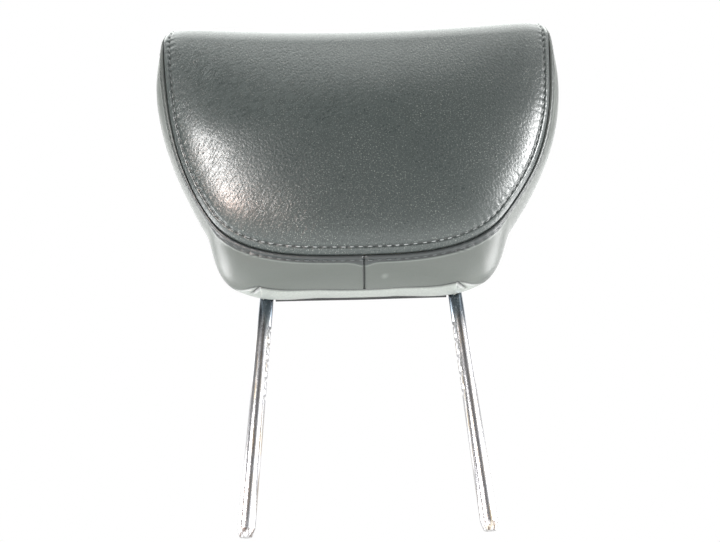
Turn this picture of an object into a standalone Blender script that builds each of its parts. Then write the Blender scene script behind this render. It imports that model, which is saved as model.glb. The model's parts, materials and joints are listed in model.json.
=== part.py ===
"""Car headrest: a foam head in a sewn leather cover, on one bent post rod held by a two-part core.

Metres, +Z up along the posts, front towards -Y. The origin lies midway between the post axes, where the
posts leave the cushion. Profiles are drawn as (forward, up) and outlines as (sideways, along the profile).
"""

import math
from bisect import bisect_right

import bmesh
import bpy
from mathutils import Matrix, Vector

# Posts and the rod inside the head
POST_SPACING = 0.138
POST_DIAMETER = 0.010
POST_LENGTH = 0.158
ROD_BEND_HEIGHT = 0.020
ROD_BEND_RADIUS = 0.030
ROD_LEAN = math.radians(16)
ROD_RISE = 0.104
ROD_SHOULDER_RADIUS = 0.024
TIP_LENGTH = 0.0045
TIP_FLAT_SHARE = 0.70
NOTCH_FIRST = 0.026
NOTCH_PITCH = 0.0125
NOTCH_COUNT = 5
NOTCH_DEPTH = 0.0013
NOTCH_HEIGHT = 0.0030

# Side view of the head, measured on the seams
CHIN_FORWARD = 0.049
CHIN_HEIGHT = 0.0015
CHIN_LEAN = math.radians(24)
FACE_FORWARD = 0.097
FACE_HEIGHT = 0.161
FACE_LEAN = math.radians(3)
TOP_EDGE_RADIUS = 0.036
TOP_FALL = math.radians(5)
TOP_DEPTH = 0.022
REAR_BOTTOM_BACK = 0.016
REAR_BOTTOM_HEIGHT = 0.014
REAR_TOP_PULL = 0.052
REAR_BOTTOM_PULL = 0.062
REAR_TOP_SLOPE = math.radians(40)
REAR_BOTTOM_LEAN = math.radians(7)

# Front view of the head: half outlines of the side seams
TOP_HALF_WIDTH = 0.146
REAR_HALF_WIDTH = 0.145
SEAM_LEAN = math.radians(10.5)
CORNER_HALF_WIDTH = 0.0995
CORNER_RISE = 0.0288
CORNER_ANGLE = math.radians(53.5)
CORNER_PULL_BELOW = 0.0345
CORNER_PULL_ABOVE = 0.052
CHIN_PULL = 0.039
TOP_PULL = 0.057

# How the panels swell between their seams
PANEL_PUFF = 0.0050
PUFF_REACH = 0.007
PANEL_CROWN = 0.0070
CROWN_REACH = 0.026
CROWN_START = 0.50
FACE_BOW = 0.006
BACK_BOW = 0.010
TOP_SADDLE = 0.0062
TOP_SADDLE_FORWARD = 0.0031
SADDLE_START = 0.30
PLEAT_DEPTH = 0.0016
PLEAT_COUNT = 3
PLEAT_RISE = 0.006
PLEAT_FULL = 0.012
PLEAT_END = 0.034

# How far the sides and the underside stand out, and where along the seam each swell gives way to the next
CHIN_BULGE = 0.0155
FLAP_END_BULGE = 0.0220
CORNER_BULGE = 0.0075
SIDE_BULGE = 0.0210
CHIN_SPAN = 0.20
FLAP_END_SPAN = 0.64
KINK_START = 0.71
KINK_END = 1.04
SIDE_FULL = 0.90
SIDE_FADE_POWER = 12
SIDE_ROUNDNESS = 0.8
TOP_BLEND_POWER = 9

# Cover, seams and the closing strips under the head
COVER_WALL = 0.0030
FLAP_START = 0.46
CLOSING_GAP = 0.0072
STRIP_WALL = 0.0008
STRIP_HEIGHT = 0.0058
STRIP_LIP = 0.0042
STRIP_DROP = 0.0016
STRIP_END_GAP = 0.0020
POST_HOLE_MARGIN = 0.0008

# Moulded core
CORE_SIDE_MARGIN = 0.014
CORE_HALF_WIDTH = POST_SPACING / 2 + CORE_SIDE_MARGIN
CORE_START = 0.010
CORE_MARGIN_ABOVE = 0.012
CORE_HALF_DEPTH = 0.0125
CORE_WALL = 0.0022
RIB_WALL = 0.0018
CORE_COLUMNS = 4
CORE_ROWS = 3
BOSS_RADIUS = 0.0042
SCREW_RADIUS = 0.0016
SCREW_HEAD_RADIUS = 0.0032
SCREW_HEAD_HEIGHT = 0.0018
SCREW_HEAD_TOP_SHARE = 0.7
SCREW_LENGTH = 0.017
CORE_EDGE_BEVEL = 0.003

# Fits
GAP = 0.0003
SLOT_MARGIN = 0.0022

# Mesh fineness
CURVE_STEPS = 48
ROD_SIDES = 16
CHANNEL_SIDES = 12
SCREW_SIDES = 8
ROD_BEND_STEPS = 4
ROD_SHOULDER_STEPS = 6
RIM_NEAR = 0.003
RIM_FAR = 0.010
FLAP_RIM = 0.006
FOLD_RIM = 0.0045
CELL_LENGTH = 0.021
CORNER_CELL = 0.0126
NORMAL_STEP = 0.001
SEAM_STEP = 0.004
WALL_STRETCH_LIMIT = 1.35


class Track:
    """A smooth line in a plane, kept as close points and measured along its length."""

    def __init__(self, points):
        self.points = [Vector(point) for point in points]
        self.marks = [0.0]
        for before, after in zip(self.points, self.points[1:]):
            self.marks.append(self.marks[-1] + (after - before).length)

    @property
    def length(self):
        return self.marks[-1]

    def point(self, distance):
        index = min(max(bisect_right(self.marks, distance) - 1, 0), len(self.points) - 2)
        span = self.marks[index + 1] - self.marks[index]
        share = (distance - self.marks[index]) / span
        return self.points[index].lerp(self.points[index + 1], min(max(share, 0.0), 1.0))


def bezier(start, start_pull, end_pull, end):
    """Close points of a cubic curve between two points."""
    points = []
    for step in range(CURVE_STEPS + 1):
        t = step / CURVE_STEPS
        points.append((1 - t) ** 3 * start + 3 * (1 - t) ** 2 * t * start_pull
                      + 3 * (1 - t) * t * t * end_pull + t ** 3 * end)
    return points


def leaning(angle):
    """Direction in a side view that leans forward from upright by an angle."""
    return Vector((math.sin(angle), math.cos(angle)))


def smooth_share(value, low, high):
    """0 below low, 1 above high and a smooth ramp between them."""
    share = min(max((value - low) / (high - low), 0.0), 1.0)
    return share * share * (3 - 2 * share)


def front_profile():
    """Side view from the chin seam up the face and over the top to the rear seam, and the face's length."""
    chin = Vector((CHIN_FORWARD, CHIN_HEIGHT))
    face_top = Vector((FACE_FORWARD, FACE_HEIGHT))
    pull = (face_top - chin).length / 3
    points = bezier(chin, chin + leaning(CHIN_LEAN) * pull, face_top - leaning(FACE_LEAN) * pull, face_top)
    face_length = Track(points).length
    centre = face_top + Vector((-math.cos(FACE_LEAN), math.sin(FACE_LEAN))) * TOP_EDGE_RADIUS
    turn = math.pi / 2 + FACE_LEAN + TOP_FALL
    for step in range(1, CURVE_STEPS + 1):
        angle = -FACE_LEAN + turn * step / CURVE_STEPS
        points.append(centre + Vector((math.cos(angle), math.sin(angle))) * TOP_EDGE_RADIUS)
    backward = Vector((-math.cos(TOP_FALL), -math.sin(TOP_FALL)))
    points.append(points[-1] + backward * TOP_DEPTH)
    return Track(points), face_length


def back_profile(rear_seam):
    """Side view from the rear seam at the top down to the closing flap."""
    bottom = Vector((-REAR_BOTTOM_BACK, REAR_BOTTOM_HEIGHT))
    first = Vector((-math.cos(REAR_TOP_SLOPE), -math.sin(REAR_TOP_SLOPE))) * REAR_TOP_PULL
    last = leaning(-REAR_BOTTOM_LEAN) * REAR_BOTTOM_PULL
    return Track(bezier(rear_seam, rear_seam + first, bottom + last, bottom))


def half_outline(top_half_width, length):
    """Half of a side seam, from the middle of the bottom round the corner and up to the top."""
    corner = Vector((CORNER_HALF_WIDTH, CORNER_RISE))
    along = Vector((math.cos(CORNER_ANGLE), math.sin(CORNER_ANGLE)))
    top = Vector((top_half_width, length))
    upward = Vector((math.sin(SEAM_LEAN), math.cos(SEAM_LEAN)))
    start = Vector((0.0, 0.0))
    lower = bezier(start, Vector((CHIN_PULL, 0.0)), corner - along * CORNER_PULL_BELOW, corner)
    upper = bezier(corner, corner + along * CORNER_PULL_ABOVE, top - upward * TOP_PULL, top)
    return Track(lower + upper[1:]), Track(lower).length


FRONT, FACE_LENGTH = front_profile()
BACK = back_profile(FRONT.points[-1])
FRONT_OUTLINE, FRONT_CORNER = half_outline(TOP_HALF_WIDTH, FACE_LENGTH)
BACK_OUTLINE, _ = half_outline(REAR_HALF_WIDTH, BACK.length)


def front_surface(x, along):
    """Point of the seam-level front surface: x sideways, along measured up from the chin seam."""
    point = FRONT.point(along)
    sideways = (x / TOP_HALF_WIDTH) ** 2
    upper = smooth_share(along, SADDLE_START * FACE_LENGTH, FACE_LENGTH)
    forward = point.x - FACE_BOW * sideways * (1 - upper) + TOP_SADDLE_FORWARD * sideways * upper
    return Vector((x, -forward, point.y + TOP_SADDLE * sideways * upper))


def back_surface(x, along):
    """Point of the seam-level rear surface: x sideways, along measured down from the rear seam."""
    point = BACK.point(along)
    rear_middle = front_surface(0.0, FRONT.length)
    rear_side = front_surface(x, FRONT.length)
    fade = 1 - smooth_share(along, 0.0, BACK.length)
    share = along / BACK.length
    sideways = (x / TOP_HALF_WIDTH) ** 2
    forward = point.x + BACK_BOW * sideways * math.sin(math.pi * min(max(share, 0.0), 1.0))
    lift = (rear_side - rear_middle) * fade
    return Vector((x, -forward + lift.y, point.y + lift.z))


def front_seam(t):
    """Point of the seam between face and side at share t of its half length, on the right for t > 0."""
    flat = FRONT_OUTLINE.point(abs(t) * FRONT_OUTLINE.length)
    return front_surface(math.copysign(flat.x, t), flat.y)


def back_seam(t):
    """Point of the seam between back and side at share t of its half length."""
    flat = BACK_OUTLINE.point(abs(t) * BACK_OUTLINE.length)
    return back_surface(math.copysign(flat.x, t), BACK.length - flat.y)


def top_seam(side, s):
    """Point of the seam over the top, from the face (s = 0) to the rear seam (s = 1)."""
    x = side * (TOP_HALF_WIDTH + (REAR_HALF_WIDTH - TOP_HALF_WIDTH) * s)
    return front_surface(x, FACE_LENGTH + (FRONT.length - FACE_LENGTH) * s)


CORNER_SHARE = FRONT_CORNER / FRONT_OUTLINE.length
UNDERSIDE_DEPTH = CHIN_FORWARD + REAR_BOTTOM_BACK
CLOSING_FRONT = (CHIN_FORWARD - CLOSING_GAP / 2) / UNDERSIDE_DEPTH
CLOSING_REAR = (CHIN_FORWARD + CLOSING_GAP / 2) / UNDERSIDE_DEPTH


def side_bulge(t):
    """How far the side stands out from the straight line between its two seams."""
    share = t / CORNER_SHARE
    below = CHIN_BULGE + (FLAP_END_BULGE - CHIN_BULGE) * smooth_share(share, CHIN_SPAN, FLAP_END_SPAN)
    lower = below + (CORNER_BULGE - below) * smooth_share(share, KINK_START, KINK_END)
    full = CORNER_SHARE + (1 - CORNER_SHARE) * SIDE_FULL
    upper = lower + (SIDE_BULGE - lower) * smooth_share(t, CORNER_SHARE, full)
    return upper * (1 - t ** SIDE_FADE_POWER)


def smooth_side(t, s, fold=0.0):
    """Point of the side and underside: t along the seams, s from the front seam to the back seam."""
    side = math.copysign(1.0, t)
    share = abs(t)
    chord = front_seam(t).lerp(back_seam(t), s)
    low, high = max(share - SEAM_STEP, 0.0), min(share + SEAM_STEP, 1.0)
    edge = front_seam(side * high) - front_seam(side * low)
    outward = Vector((side * edge.z, 0.0, -side * edge.x)).normalized()
    crown = max(4 * s * (1 - s), 0.0) ** SIDE_ROUNDNESS
    top_chord = front_seam(side).lerp(back_seam(side), s)
    top_lift = (top_seam(side, s) - top_chord) * share ** TOP_BLEND_POWER
    return chord + outward * crown * (side_bulge(share) - fold) + top_lift


def share_below(x):
    """Share along the seams at which the closing line lies a distance sideways from the middle."""
    low, high = 0.0, CORNER_SHARE
    for _ in range(30):
        middle = (low + high) / 2
        if smooth_side(middle, (CLOSING_FRONT + CLOSING_REAR) / 2).x < x:
            low = middle
        else:
            high = middle
    return low


FLAP_END = share_below(POST_SPACING / 2)


def pleats(t, s):
    """Depth of the folds that gather the side panel round the end of the front flap."""
    along = (t - FLAP_END) * FRONT_OUTLINE.length
    across = (FLAP_START - s) * UNDERSIDE_DEPTH
    if along <= 0 or across <= 0:
        return 0.0
    reach = math.hypot(along, across)
    angle = math.atan2(along, across)
    turns = PLEAT_COUNT * angle / (math.pi / 2)
    wave = 0.5 - 0.5 * math.cos(2 * math.pi * turns)
    fade = 1 - smooth_share(reach, PLEAT_FULL, PLEAT_END)
    return PLEAT_DEPTH * wave * smooth_share(reach, 0.0, PLEAT_RISE) * fade


def side_surface(t, s):
    """Point of the side and underside with its pleats."""
    return smooth_side(t, s, pleats(abs(t), s))


def spread(start, end, cell):
    """Even stops after start up to end, about a cell apart."""
    count = max(1, round(abs(end - start) / cell))
    return [start + (end - start) * step / count for step in range(1, count + 1)]


def seam_stops():
    """Shares along the half seam where all panels have their edges' points, and the corner's index."""
    length = FRONT_OUTLINE.length
    cell = CELL_LENGTH / length
    near, far, flap_rim = RIM_NEAR / length, RIM_FAR / length, FLAP_RIM / length
    corner = FRONT_CORNER / length
    stops = [0.0, near, far]
    stops += spread(far, FLAP_END - flap_rim, cell)
    stops += [FLAP_END, FLAP_END + flap_rim]
    stops += spread(FLAP_END + flap_rim, corner, CORNER_CELL / length)
    corner_index = len(stops) - 1
    stops += spread(corner, 1 - far, cell)
    stops += [1 - near, 1.0]
    return stops, corner_index


def side_stops():
    """Shares from the front seam to the back seam where the sides have their points."""
    near, far, fold = (rim / UNDERSIDE_DEPTH for rim in (RIM_NEAR, RIM_FAR, FOLD_RIM))
    return [0.0, near, far, FLAP_START - fold, FLAP_START, (FLAP_START + CLOSING_FRONT) / 2,
            CLOSING_FRONT, CLOSING_REAR, (CLOSING_REAR + 1) / 2, 1 - near, 1.0]


STOPS, CORNER_INDEX = seam_stops()
SIDE_STOPS = side_stops()


def distance_to_loop(point, loop):
    """Shortest distance from a point to a line of points, all in one plane."""
    best = 1.0
    for start, end in zip(loop, loop[1:]):
        edge = end - start
        share = min(max((point - start).dot(edge) / edge.length_squared, 0.0), 1.0)
        best = min(best, (start + edge * share - point).length)
    return best


def inset_side(side, distance):
    """The three sewn sides of a panel moved inward by a distance; both ends slide along the top edge."""
    moved = [side[0] + Vector((distance, 0.0))]
    for before, here, after in zip(side, side[1:], side[2:]):
        along = (after - before).normalized()
        moved.append(here + Vector((-along.y, along.x)) * distance)
    return moved + [side[-1] - Vector((distance, 0.0))]


def puffed(surface, x, along, depth, outward):
    """Surface point raised by the swell that a panel has at a depth inside its seam."""
    across = surface(x + NORMAL_STEP, along) - surface(x - NORMAL_STEP, along)
    upward = surface(x, along + NORMAL_STEP) - surface(x, along - NORMAL_STEP)
    normal = across.cross(upward).normalized() * outward
    crown = PANEL_CROWN * (1 - smooth_share(along, CROWN_START * FACE_LENGTH, FACE_LENGTH))
    swell = PANEL_PUFF * (1 - math.exp(-depth / PUFF_REACH)) + crown * (1 - math.exp(-depth / CROWN_REACH))
    return surface(x, along) + normal * swell


def panel_patch(mesh, tag, number, side, surface, outward):
    """Faces of one panel inside its three sewn sides and its top edge.

    Rows of cells follow the sewn sides first; a net of cells fills the middle.
    """
    columns = 2 * CORNER_INDEX
    rows = (len(side) - 1 - columns) // 2
    depths = (0.0, RIM_NEAR, RIM_FAR)
    rings = [side] + [inset_side(side, depth) for depth in depths[1:]]
    ends = rings[-1][0], rings[-1][-1]
    top = [ends[0].lerp(ends[1], step / columns) for step in range(columns + 1)]
    outline = side + [side[0]]

    def raised(point, depth):
        top_depth = abs(side[0].y - point.y)
        return mesh.verts.new(puffed(surface, point.x, point.y, min(depth, top_depth), outward))

    made = [[raised(point, depth) for point in ring] for ring, depth in zip(rings, depths)]
    inner = rings[-1][rows:-rows]
    left, right = rings[-1][rows::-1], rings[-1][-rows - 1:]
    verts = {}
    for i in range(columns + 1):
        for j in range(rows + 1):
            u, v = i / columns, j / rows
            corners = (inner[0] * (1 - u) * (1 - v) + inner[-1] * u * (1 - v)
                       + top[0] * (1 - u) * v + top[-1] * u * v)
            point = inner[i] * (1 - v) + top[i] * v + left[j] * (1 - u) + right[j] * u - corners
            if 0 < i < columns and j > 0:
                verts[i, j] = raised(point, distance_to_loop(point, outline))
    for i in range(columns + 1):
        verts[i, 0] = made[-1][rows + i]
    for j in range(rows + 1):
        verts[0, j] = made[-1][rows - j]
        verts[columns, j] = made[-1][rows + columns + j]
    for i in range(columns):
        for j in range(rows):
            face = mesh.faces.new((verts[i, j], verts[i + 1, j], verts[i + 1, j + 1], verts[i, j + 1]))
            face[tag] = number
    for outer, inner_ring in zip(made, made[1:]):
        for k in range(len(outer) - 1):
            face = mesh.faces.new((outer[k], outer[k + 1], inner_ring[k + 1], inner_ring[k]))
            face[tag] = number


def front_side():
    """The sewn sides of the front panel: down from the rear seam on the left, round and up on the right."""
    right = [FRONT_OUTLINE.point(stop * FRONT_OUTLINE.length) for stop in STOPS]
    for stop in SIDE_STOPS[1:]:
        x = TOP_HALF_WIDTH + (REAR_HALF_WIDTH - TOP_HALF_WIDTH) * stop
        right.append(Vector((x, FACE_LENGTH + (FRONT.length - FACE_LENGTH) * stop)))
    return mirrored_side(right)


def back_side():
    """The sewn sides of the back panel, with heights measured up from its bottom."""
    return mirrored_side([BACK_OUTLINE.point(stop * BACK_OUTLINE.length) for stop in STOPS])


def mirrored_side(right):
    """Both halves of a panel's sewn sides in one line, from its right half."""
    return [Vector((-point.x, point.y)) for point in right[:0:-1]] + right


PANELS = ("front_panel", "back_panel", "side_panel_left", "side_panel_right",
          "bottom_flap_front", "bottom_flap_rear", "closing_zone")


def underside_panel(t, s):
    """Which panel a cell of the side and underside belongs to."""
    if abs(t) > FLAP_END or s < FLAP_START:
        return "side_panel_left" if t < 0 else "side_panel_right"
    if s < CLOSING_FRONT:
        return "bottom_flap_front"
    return "bottom_flap_rear" if s > CLOSING_REAR else "closing_zone"


def sewn_head():
    """The whole outer surface of the head, each face tagged with the panel that it belongs to."""
    mesh = bmesh.new()
    tag = mesh.faces.layers.int.new("panel")
    panel_patch(mesh, tag, PANELS.index("front_panel"), front_side(), front_surface, 1)
    panel_patch(mesh, tag, PANELS.index("back_panel"), back_side(),
                lambda x, along: back_surface(x, BACK.length - along), -1)
    along = [-stop for stop in STOPS[:0:-1]] + STOPS
    verts = {}
    for i, t in enumerate(along):
        for j, s in enumerate(SIDE_STOPS):
            verts[i, j] = mesh.verts.new(side_surface(t, s))
    for i in range(len(along) - 1):
        for j in range(len(SIDE_STOPS) - 1):
            face = mesh.faces.new((verts[i, j], verts[i, j + 1], verts[i + 1, j + 1], verts[i + 1, j]))
            middle_t = (along[i] + along[i + 1]) / 2
            middle_s = (SIDE_STOPS[j] + SIDE_STOPS[j + 1]) / 2
            face[tag] = PANELS.index(underside_panel(middle_t, middle_s))
    bmesh.ops.remove_doubles(mesh, verts=mesh.verts, dist=0.00005)
    bmesh.ops.triangulate(mesh, faces=mesh.faces, quad_method="SHORT_EDGE")
    bmesh.ops.recalc_face_normals(mesh, faces=mesh.faces)
    wall = mesh.verts.layers.float_vector.new("wall")
    for vert in mesh.verts:
        vert[wall] = -vert.normal * min(vert.calc_shell_factor(), WALL_STRETCH_LIMIT)
    return mesh


def material(name, colour, roughness, metallic=0.0):
    """A plain surface with a colour, a roughness and a metallic value."""
    made = bpy.data.materials.new(name)
    made.use_nodes = True
    shader = made.node_tree.nodes["Principled BSDF"]
    shader.inputs["Base Color"].default_value = (*colour, 1.0)
    shader.inputs["Roughness"].default_value = roughness
    shader.inputs["Metallic"].default_value = metallic
    made.diffuse_color = (*colour, 1.0)
    return made


def place(name, mesh, colour, roughness, metallic=0.0, matrix=None):
    """Turn a bmesh into a named object with a material of its own."""
    data = bpy.data.meshes.new(name)
    mesh.to_mesh(data)
    mesh.free()
    data.materials.append(material(name + "_finish", colour, roughness, metallic))
    thing = bpy.data.objects.new(name, data)
    bpy.context.scene.collection.objects.link(thing)
    if matrix is not None:
        thing.matrix_world = matrix
    return thing


def tool(name, mesh, matrix=None):
    """A hidden object that only shapes another one."""
    made = place(name, mesh, (0.5, 0.5, 0.5), 0.5, 0.0, matrix)
    made.hide_render = True
    made.display_type = "WIRE"
    return made


def cut(thing, cutter, operation="DIFFERENCE"):
    """Add a boolean by a hidden tool."""
    step = thing.modifiers.new(operation.lower() + "_" + cutter.name, "BOOLEAN")
    step.operation = operation
    step.solver = "EXACT"
    step.object = cutter


def box(low, high):
    """A closed box between two corners."""
    mesh = bmesh.new()
    bmesh.ops.create_cube(mesh, size=1.0)
    size = [b - a for a, b in zip(low, high)]
    bmesh.ops.scale(mesh, vec=size, verts=mesh.verts)
    bmesh.ops.translate(mesh, vec=[(a + b) / 2 for a, b in zip(low, high)], verts=mesh.verts)
    return mesh


def seam_pull(vert, wall):
    """Half a seam gap at a point of a panel's edge, away from the wall that it shares with its neighbour."""
    sides = []
    for edge in vert.link_edges:
        if edge.is_boundary:
            along = edge.other_vert(vert).co - vert.co
            across = along.cross(vert[wall]).normalized()
            inside = edge.link_faces[0].calc_center_median() - vert.co
            sides.append(across if across.dot(inside) > 0 else -across)
    first, second = sides
    return (first + second) / max(1 + first.dot(second), 0.5) * GAP / 2


def cover_panel(head, name, colour):
    """One panel of the cover with its wall, cut from the sewn head with half a seam gap at its edge."""
    mesh = head.copy()
    tag = mesh.faces.layers.int["panel"]
    wall = mesh.verts.layers.float_vector["wall"]
    others = [face for face in mesh.faces if face[tag] != PANELS.index(name)]
    bmesh.ops.delete(mesh, geom=others, context="FACES")
    pulls = {vert: seam_pull(vert, wall) for vert in mesh.verts if vert.is_boundary}
    for vert, pull in pulls.items():
        vert.co += pull
    grown = bmesh.ops.extrude_face_region(mesh, geom=list(mesh.faces), use_keep_orig=True)
    for vert in (item for item in grown["geom"] if isinstance(item, bmesh.types.BMVert)):
        vert.co += vert[wall] * COVER_WALL
    edge_walls = [face for face in mesh.faces if len(face.verts) == 4]
    bmesh.ops.triangulate(mesh, faces=edge_walls, quad_method="SHORT_EDGE")
    bmesh.ops.recalc_face_normals(mesh, faces=mesh.faces)
    return place(name, mesh, colour, 0.45)


def post_hole(side):
    """Cutter that lets a post through the cover."""
    mesh = bmesh.new()
    radius = POST_DIAMETER / 2 + POST_HOLE_MARGIN
    height = 2 * (CHIN_BULGE + COVER_WALL + REAR_BOTTOM_HEIGHT)
    bmesh.ops.create_cone(mesh, cap_ends=True, segments=ROD_SIDES, radius1=radius, radius2=radius,
                          depth=height)
    bmesh.ops.translate(mesh, vec=(side * POST_SPACING / 2, 0.0, 0.0), verts=mesh.verts)
    return tool("post_hole_" + ("left" if side < 0 else "right"), mesh)


def core_frame():
    """Matrix of the leaning core: its own z runs along the leaning rods and its own -y faces forward."""
    return Matrix.Translation((0.0, 0.0, ROD_BEND_HEIGHT)) @ Matrix.Rotation(ROD_LEAN, 4, "X")


def rod_path():
    """Middle line of the rod, from one post's tip up, across and down to the other tip."""
    half = POST_SPACING / 2
    lean = core_frame()
    points = [Vector((-half, 0.0, -POST_LENGTH)), Vector((-half, 0.0, -POST_LENGTH + TIP_LENGTH))]
    reach = ROD_BEND_RADIUS * math.tan(ROD_LEAN / 2)
    start = Vector((-half, 0.0, ROD_BEND_HEIGHT - reach))
    for step in range(ROD_BEND_STEPS + 1):
        angle = ROD_LEAN * step / ROD_BEND_STEPS
        forward = ROD_BEND_RADIUS * (1 - math.cos(angle))
        points.append(start + Vector((0.0, -forward, ROD_BEND_RADIUS * math.sin(angle))))
    for step in range(ROD_SHOULDER_STEPS + 1):
        angle = math.pi / 2 * step / ROD_SHOULDER_STEPS
        x = -half + ROD_SHOULDER_RADIUS * (1 - math.cos(angle))
        z = ROD_RISE - ROD_SHOULDER_RADIUS * (1 - math.sin(angle))
        points.append(lean @ Vector((x, 0.0, z)))
    return points + [Vector((-point.x, point.y, point.z)) for point in reversed(points)]


def swept(name, points, radius, sides, tip_share):
    """A round bar along a line of points, with narrower ends."""
    curve = bpy.data.curves.new(name, "CURVE")
    curve.dimensions = "3D"
    curve.twist_mode = "MINIMUM"
    curve.bevel_depth = radius
    curve.bevel_resolution = sides // 2 - 2
    curve.use_fill_caps = True
    spline = curve.splines.new("POLY")
    spline.points.add(len(points) - 1)
    for target, point in zip(spline.points, points):
        target.co = (*point, 1.0)
    spline.points[0].radius = tip_share
    spline.points[-1].radius = tip_share
    guide = bpy.data.objects.new(name, curve)
    mesh = bmesh.new()
    data = bpy.data.meshes.new_from_object(guide)
    mesh.from_mesh(data)
    bpy.data.objects.remove(guide)
    bmesh.ops.remove_doubles(mesh, verts=mesh.verts, dist=0.00001)
    bmesh.ops.recalc_face_normals(mesh, faces=mesh.faces)
    return mesh


def armature_rod():
    """One bent steel rod: both posts, the leaning legs and the crossbar, with locking notches."""
    rod = place("armature_rod", swept("rod_line", rod_path(), POST_DIAMETER / 2, ROD_SIDES, TIP_FLAT_SHARE),
                (0.62, 0.62, 0.62), 0.18, 1.0)
    teeth = bmesh.new()
    for side in (-1, 1):
        for index in range(NOTCH_COUNT):
            middle = -NOTCH_FIRST - NOTCH_PITCH * index
            inner = side * (POST_SPACING / 2 - POST_DIAMETER / 2)
            bite = inner + side * NOTCH_DEPTH
            outside = inner - side * POST_DIAMETER / 2
            low, high = sorted((bite, outside))
            tooth = box((low, -POST_DIAMETER, middle - NOTCH_HEIGHT / 2),
                        (high, POST_DIAMETER, middle + NOTCH_HEIGHT / 2))
            data = bpy.data.meshes.new("tooth")
            tooth.to_mesh(data)
            tooth.free()
            teeth.from_mesh(data)
            bpy.data.meshes.remove(data)
    cut(rod, tool("notch_cutters", teeth))
    rod.data.shade_smooth()
    rod.data.set_sharp_from_angle(angle=math.radians(40))
    return rod


def core_box(margin, bevel):
    """The core's outer block, grown by a margin on every side."""
    high = ROD_RISE + CORE_MARGIN_ABOVE + margin
    depth = CORE_HALF_DEPTH + margin
    mesh = box((-CORE_HALF_WIDTH - margin, -depth, CORE_START - margin),
               (CORE_HALF_WIDTH + margin, depth, high))
    bmesh.ops.bevel(mesh, geom=mesh.edges, offset=bevel, segments=1, profile=0.5, affect="EDGES", material=-1)
    return mesh


def screw_places():
    """Places of the core screws in the core's own frame: where the inner ribs cross."""
    column = CORE_HALF_WIDTH * 2 / CORE_COLUMNS
    row = (ROD_RISE + CORE_MARGIN_ABOVE - CORE_START) / CORE_ROWS
    return [(-CORE_HALF_WIDTH + column * i, CORE_START + row * j)
            for j in range(1, CORE_ROWS) for i in range(1, CORE_COLUMNS)]


def joined(meshes):
    """One bmesh that holds several closed ones."""
    whole = bmesh.new()
    for mesh in meshes:
        data = bpy.data.meshes.new("part")
        mesh.to_mesh(data)
        mesh.free()
        whole.from_mesh(data)
        bpy.data.meshes.remove(data)
    return whole


def cylinder(x, z, low, high, radius, sides=CHANNEL_SIDES):
    """An upright-faced cylinder along the core's own y."""
    mesh = bmesh.new()
    bmesh.ops.create_cone(mesh, cap_ends=True, segments=sides, radius1=radius, radius2=radius,
                          depth=high - low)
    turn = Matrix.Translation((x, (low + high) / 2, z)) @ Matrix.Rotation(math.pi / 2, 4, "X")
    bmesh.ops.transform(mesh, matrix=turn, verts=mesh.verts)
    return mesh


def core_half(name, front):
    """One moulded half of the core: a ribbed tray with rod saddles and screw bosses."""
    frame = core_frame()
    sign = -1 if front else 1
    half = place(name, core_box(0.0, CORE_EDGE_BEVEL), (0.055, 0.058, 0.06), 0.5, 0.0, frame)
    high = ROD_RISE + CORE_MARGIN_ABOVE
    other = box((-CORE_HALF_WIDTH * 2, min(-sign * CORE_HALF_DEPTH * 2, sign * GAP / 2), -high),
                (CORE_HALF_WIDTH * 2, max(-sign * CORE_HALF_DEPTH * 2, sign * GAP / 2), high * 2))
    cut(half, tool(name + "_split", other, frame))
    pockets = []
    width = CORE_HALF_WIDTH * 2 / CORE_COLUMNS
    row = (high - CORE_START) / CORE_ROWS
    floor = sign * (CORE_HALF_DEPTH - CORE_WALL)
    for i in range(CORE_COLUMNS):
        for j in range(CORE_ROWS):
            left = -CORE_HALF_WIDTH + width * i + (CORE_WALL if i == 0 else RIB_WALL / 2)
            right = -CORE_HALF_WIDTH + width * (i + 1)
            right -= CORE_WALL if i == CORE_COLUMNS - 1 else RIB_WALL / 2
            bottom = CORE_START + row * j + (CORE_WALL if j == 0 else RIB_WALL / 2)
            top = CORE_START + row * (j + 1) - (CORE_WALL if j == CORE_ROWS - 1 else RIB_WALL / 2)
            near, far = sorted((floor, -sign * GAP))
            pockets.append(box((left, near, bottom), (right, far, top)))
    cut(half, tool(name + "_pockets", joined(pockets), frame))
    bosses = [cylinder(x, z, *sorted((sign * GAP / 2, floor + sign * CORE_WALL / 2)), BOSS_RADIUS)
              for x, z in screw_places()]
    cut(half, tool(name + "_bosses", joined(bosses), frame), "UNION")
    channel = swept("channel_line", rod_path(), POST_DIAMETER / 2 + GAP, CHANNEL_SIDES, 1.0)
    cut(half, tool(name + "_channel", channel))
    hole = SCREW_RADIUS + GAP
    depth = CORE_HALF_DEPTH * 2
    if front:
        bores = [cylinder(x, z, -CORE_HALF_DEPTH + CORE_WALL, GAP, hole, SCREW_SIDES)
                 for x, z in screw_places()]
    else:
        bores = [cylinder(x, z, -GAP, depth, hole, SCREW_SIDES) for x, z in screw_places()]
        sink = CORE_HALF_DEPTH - SCREW_HEAD_HEIGHT - GAP
        heads = [cylinder(x, z, sink, depth, SCREW_HEAD_RADIUS + GAP) for x, z in screw_places()]
        cut(half, tool(name + "_head_sinks", joined(heads), frame))
    cut(half, tool(name + "_bores", joined(bores), frame))
    return half


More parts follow.
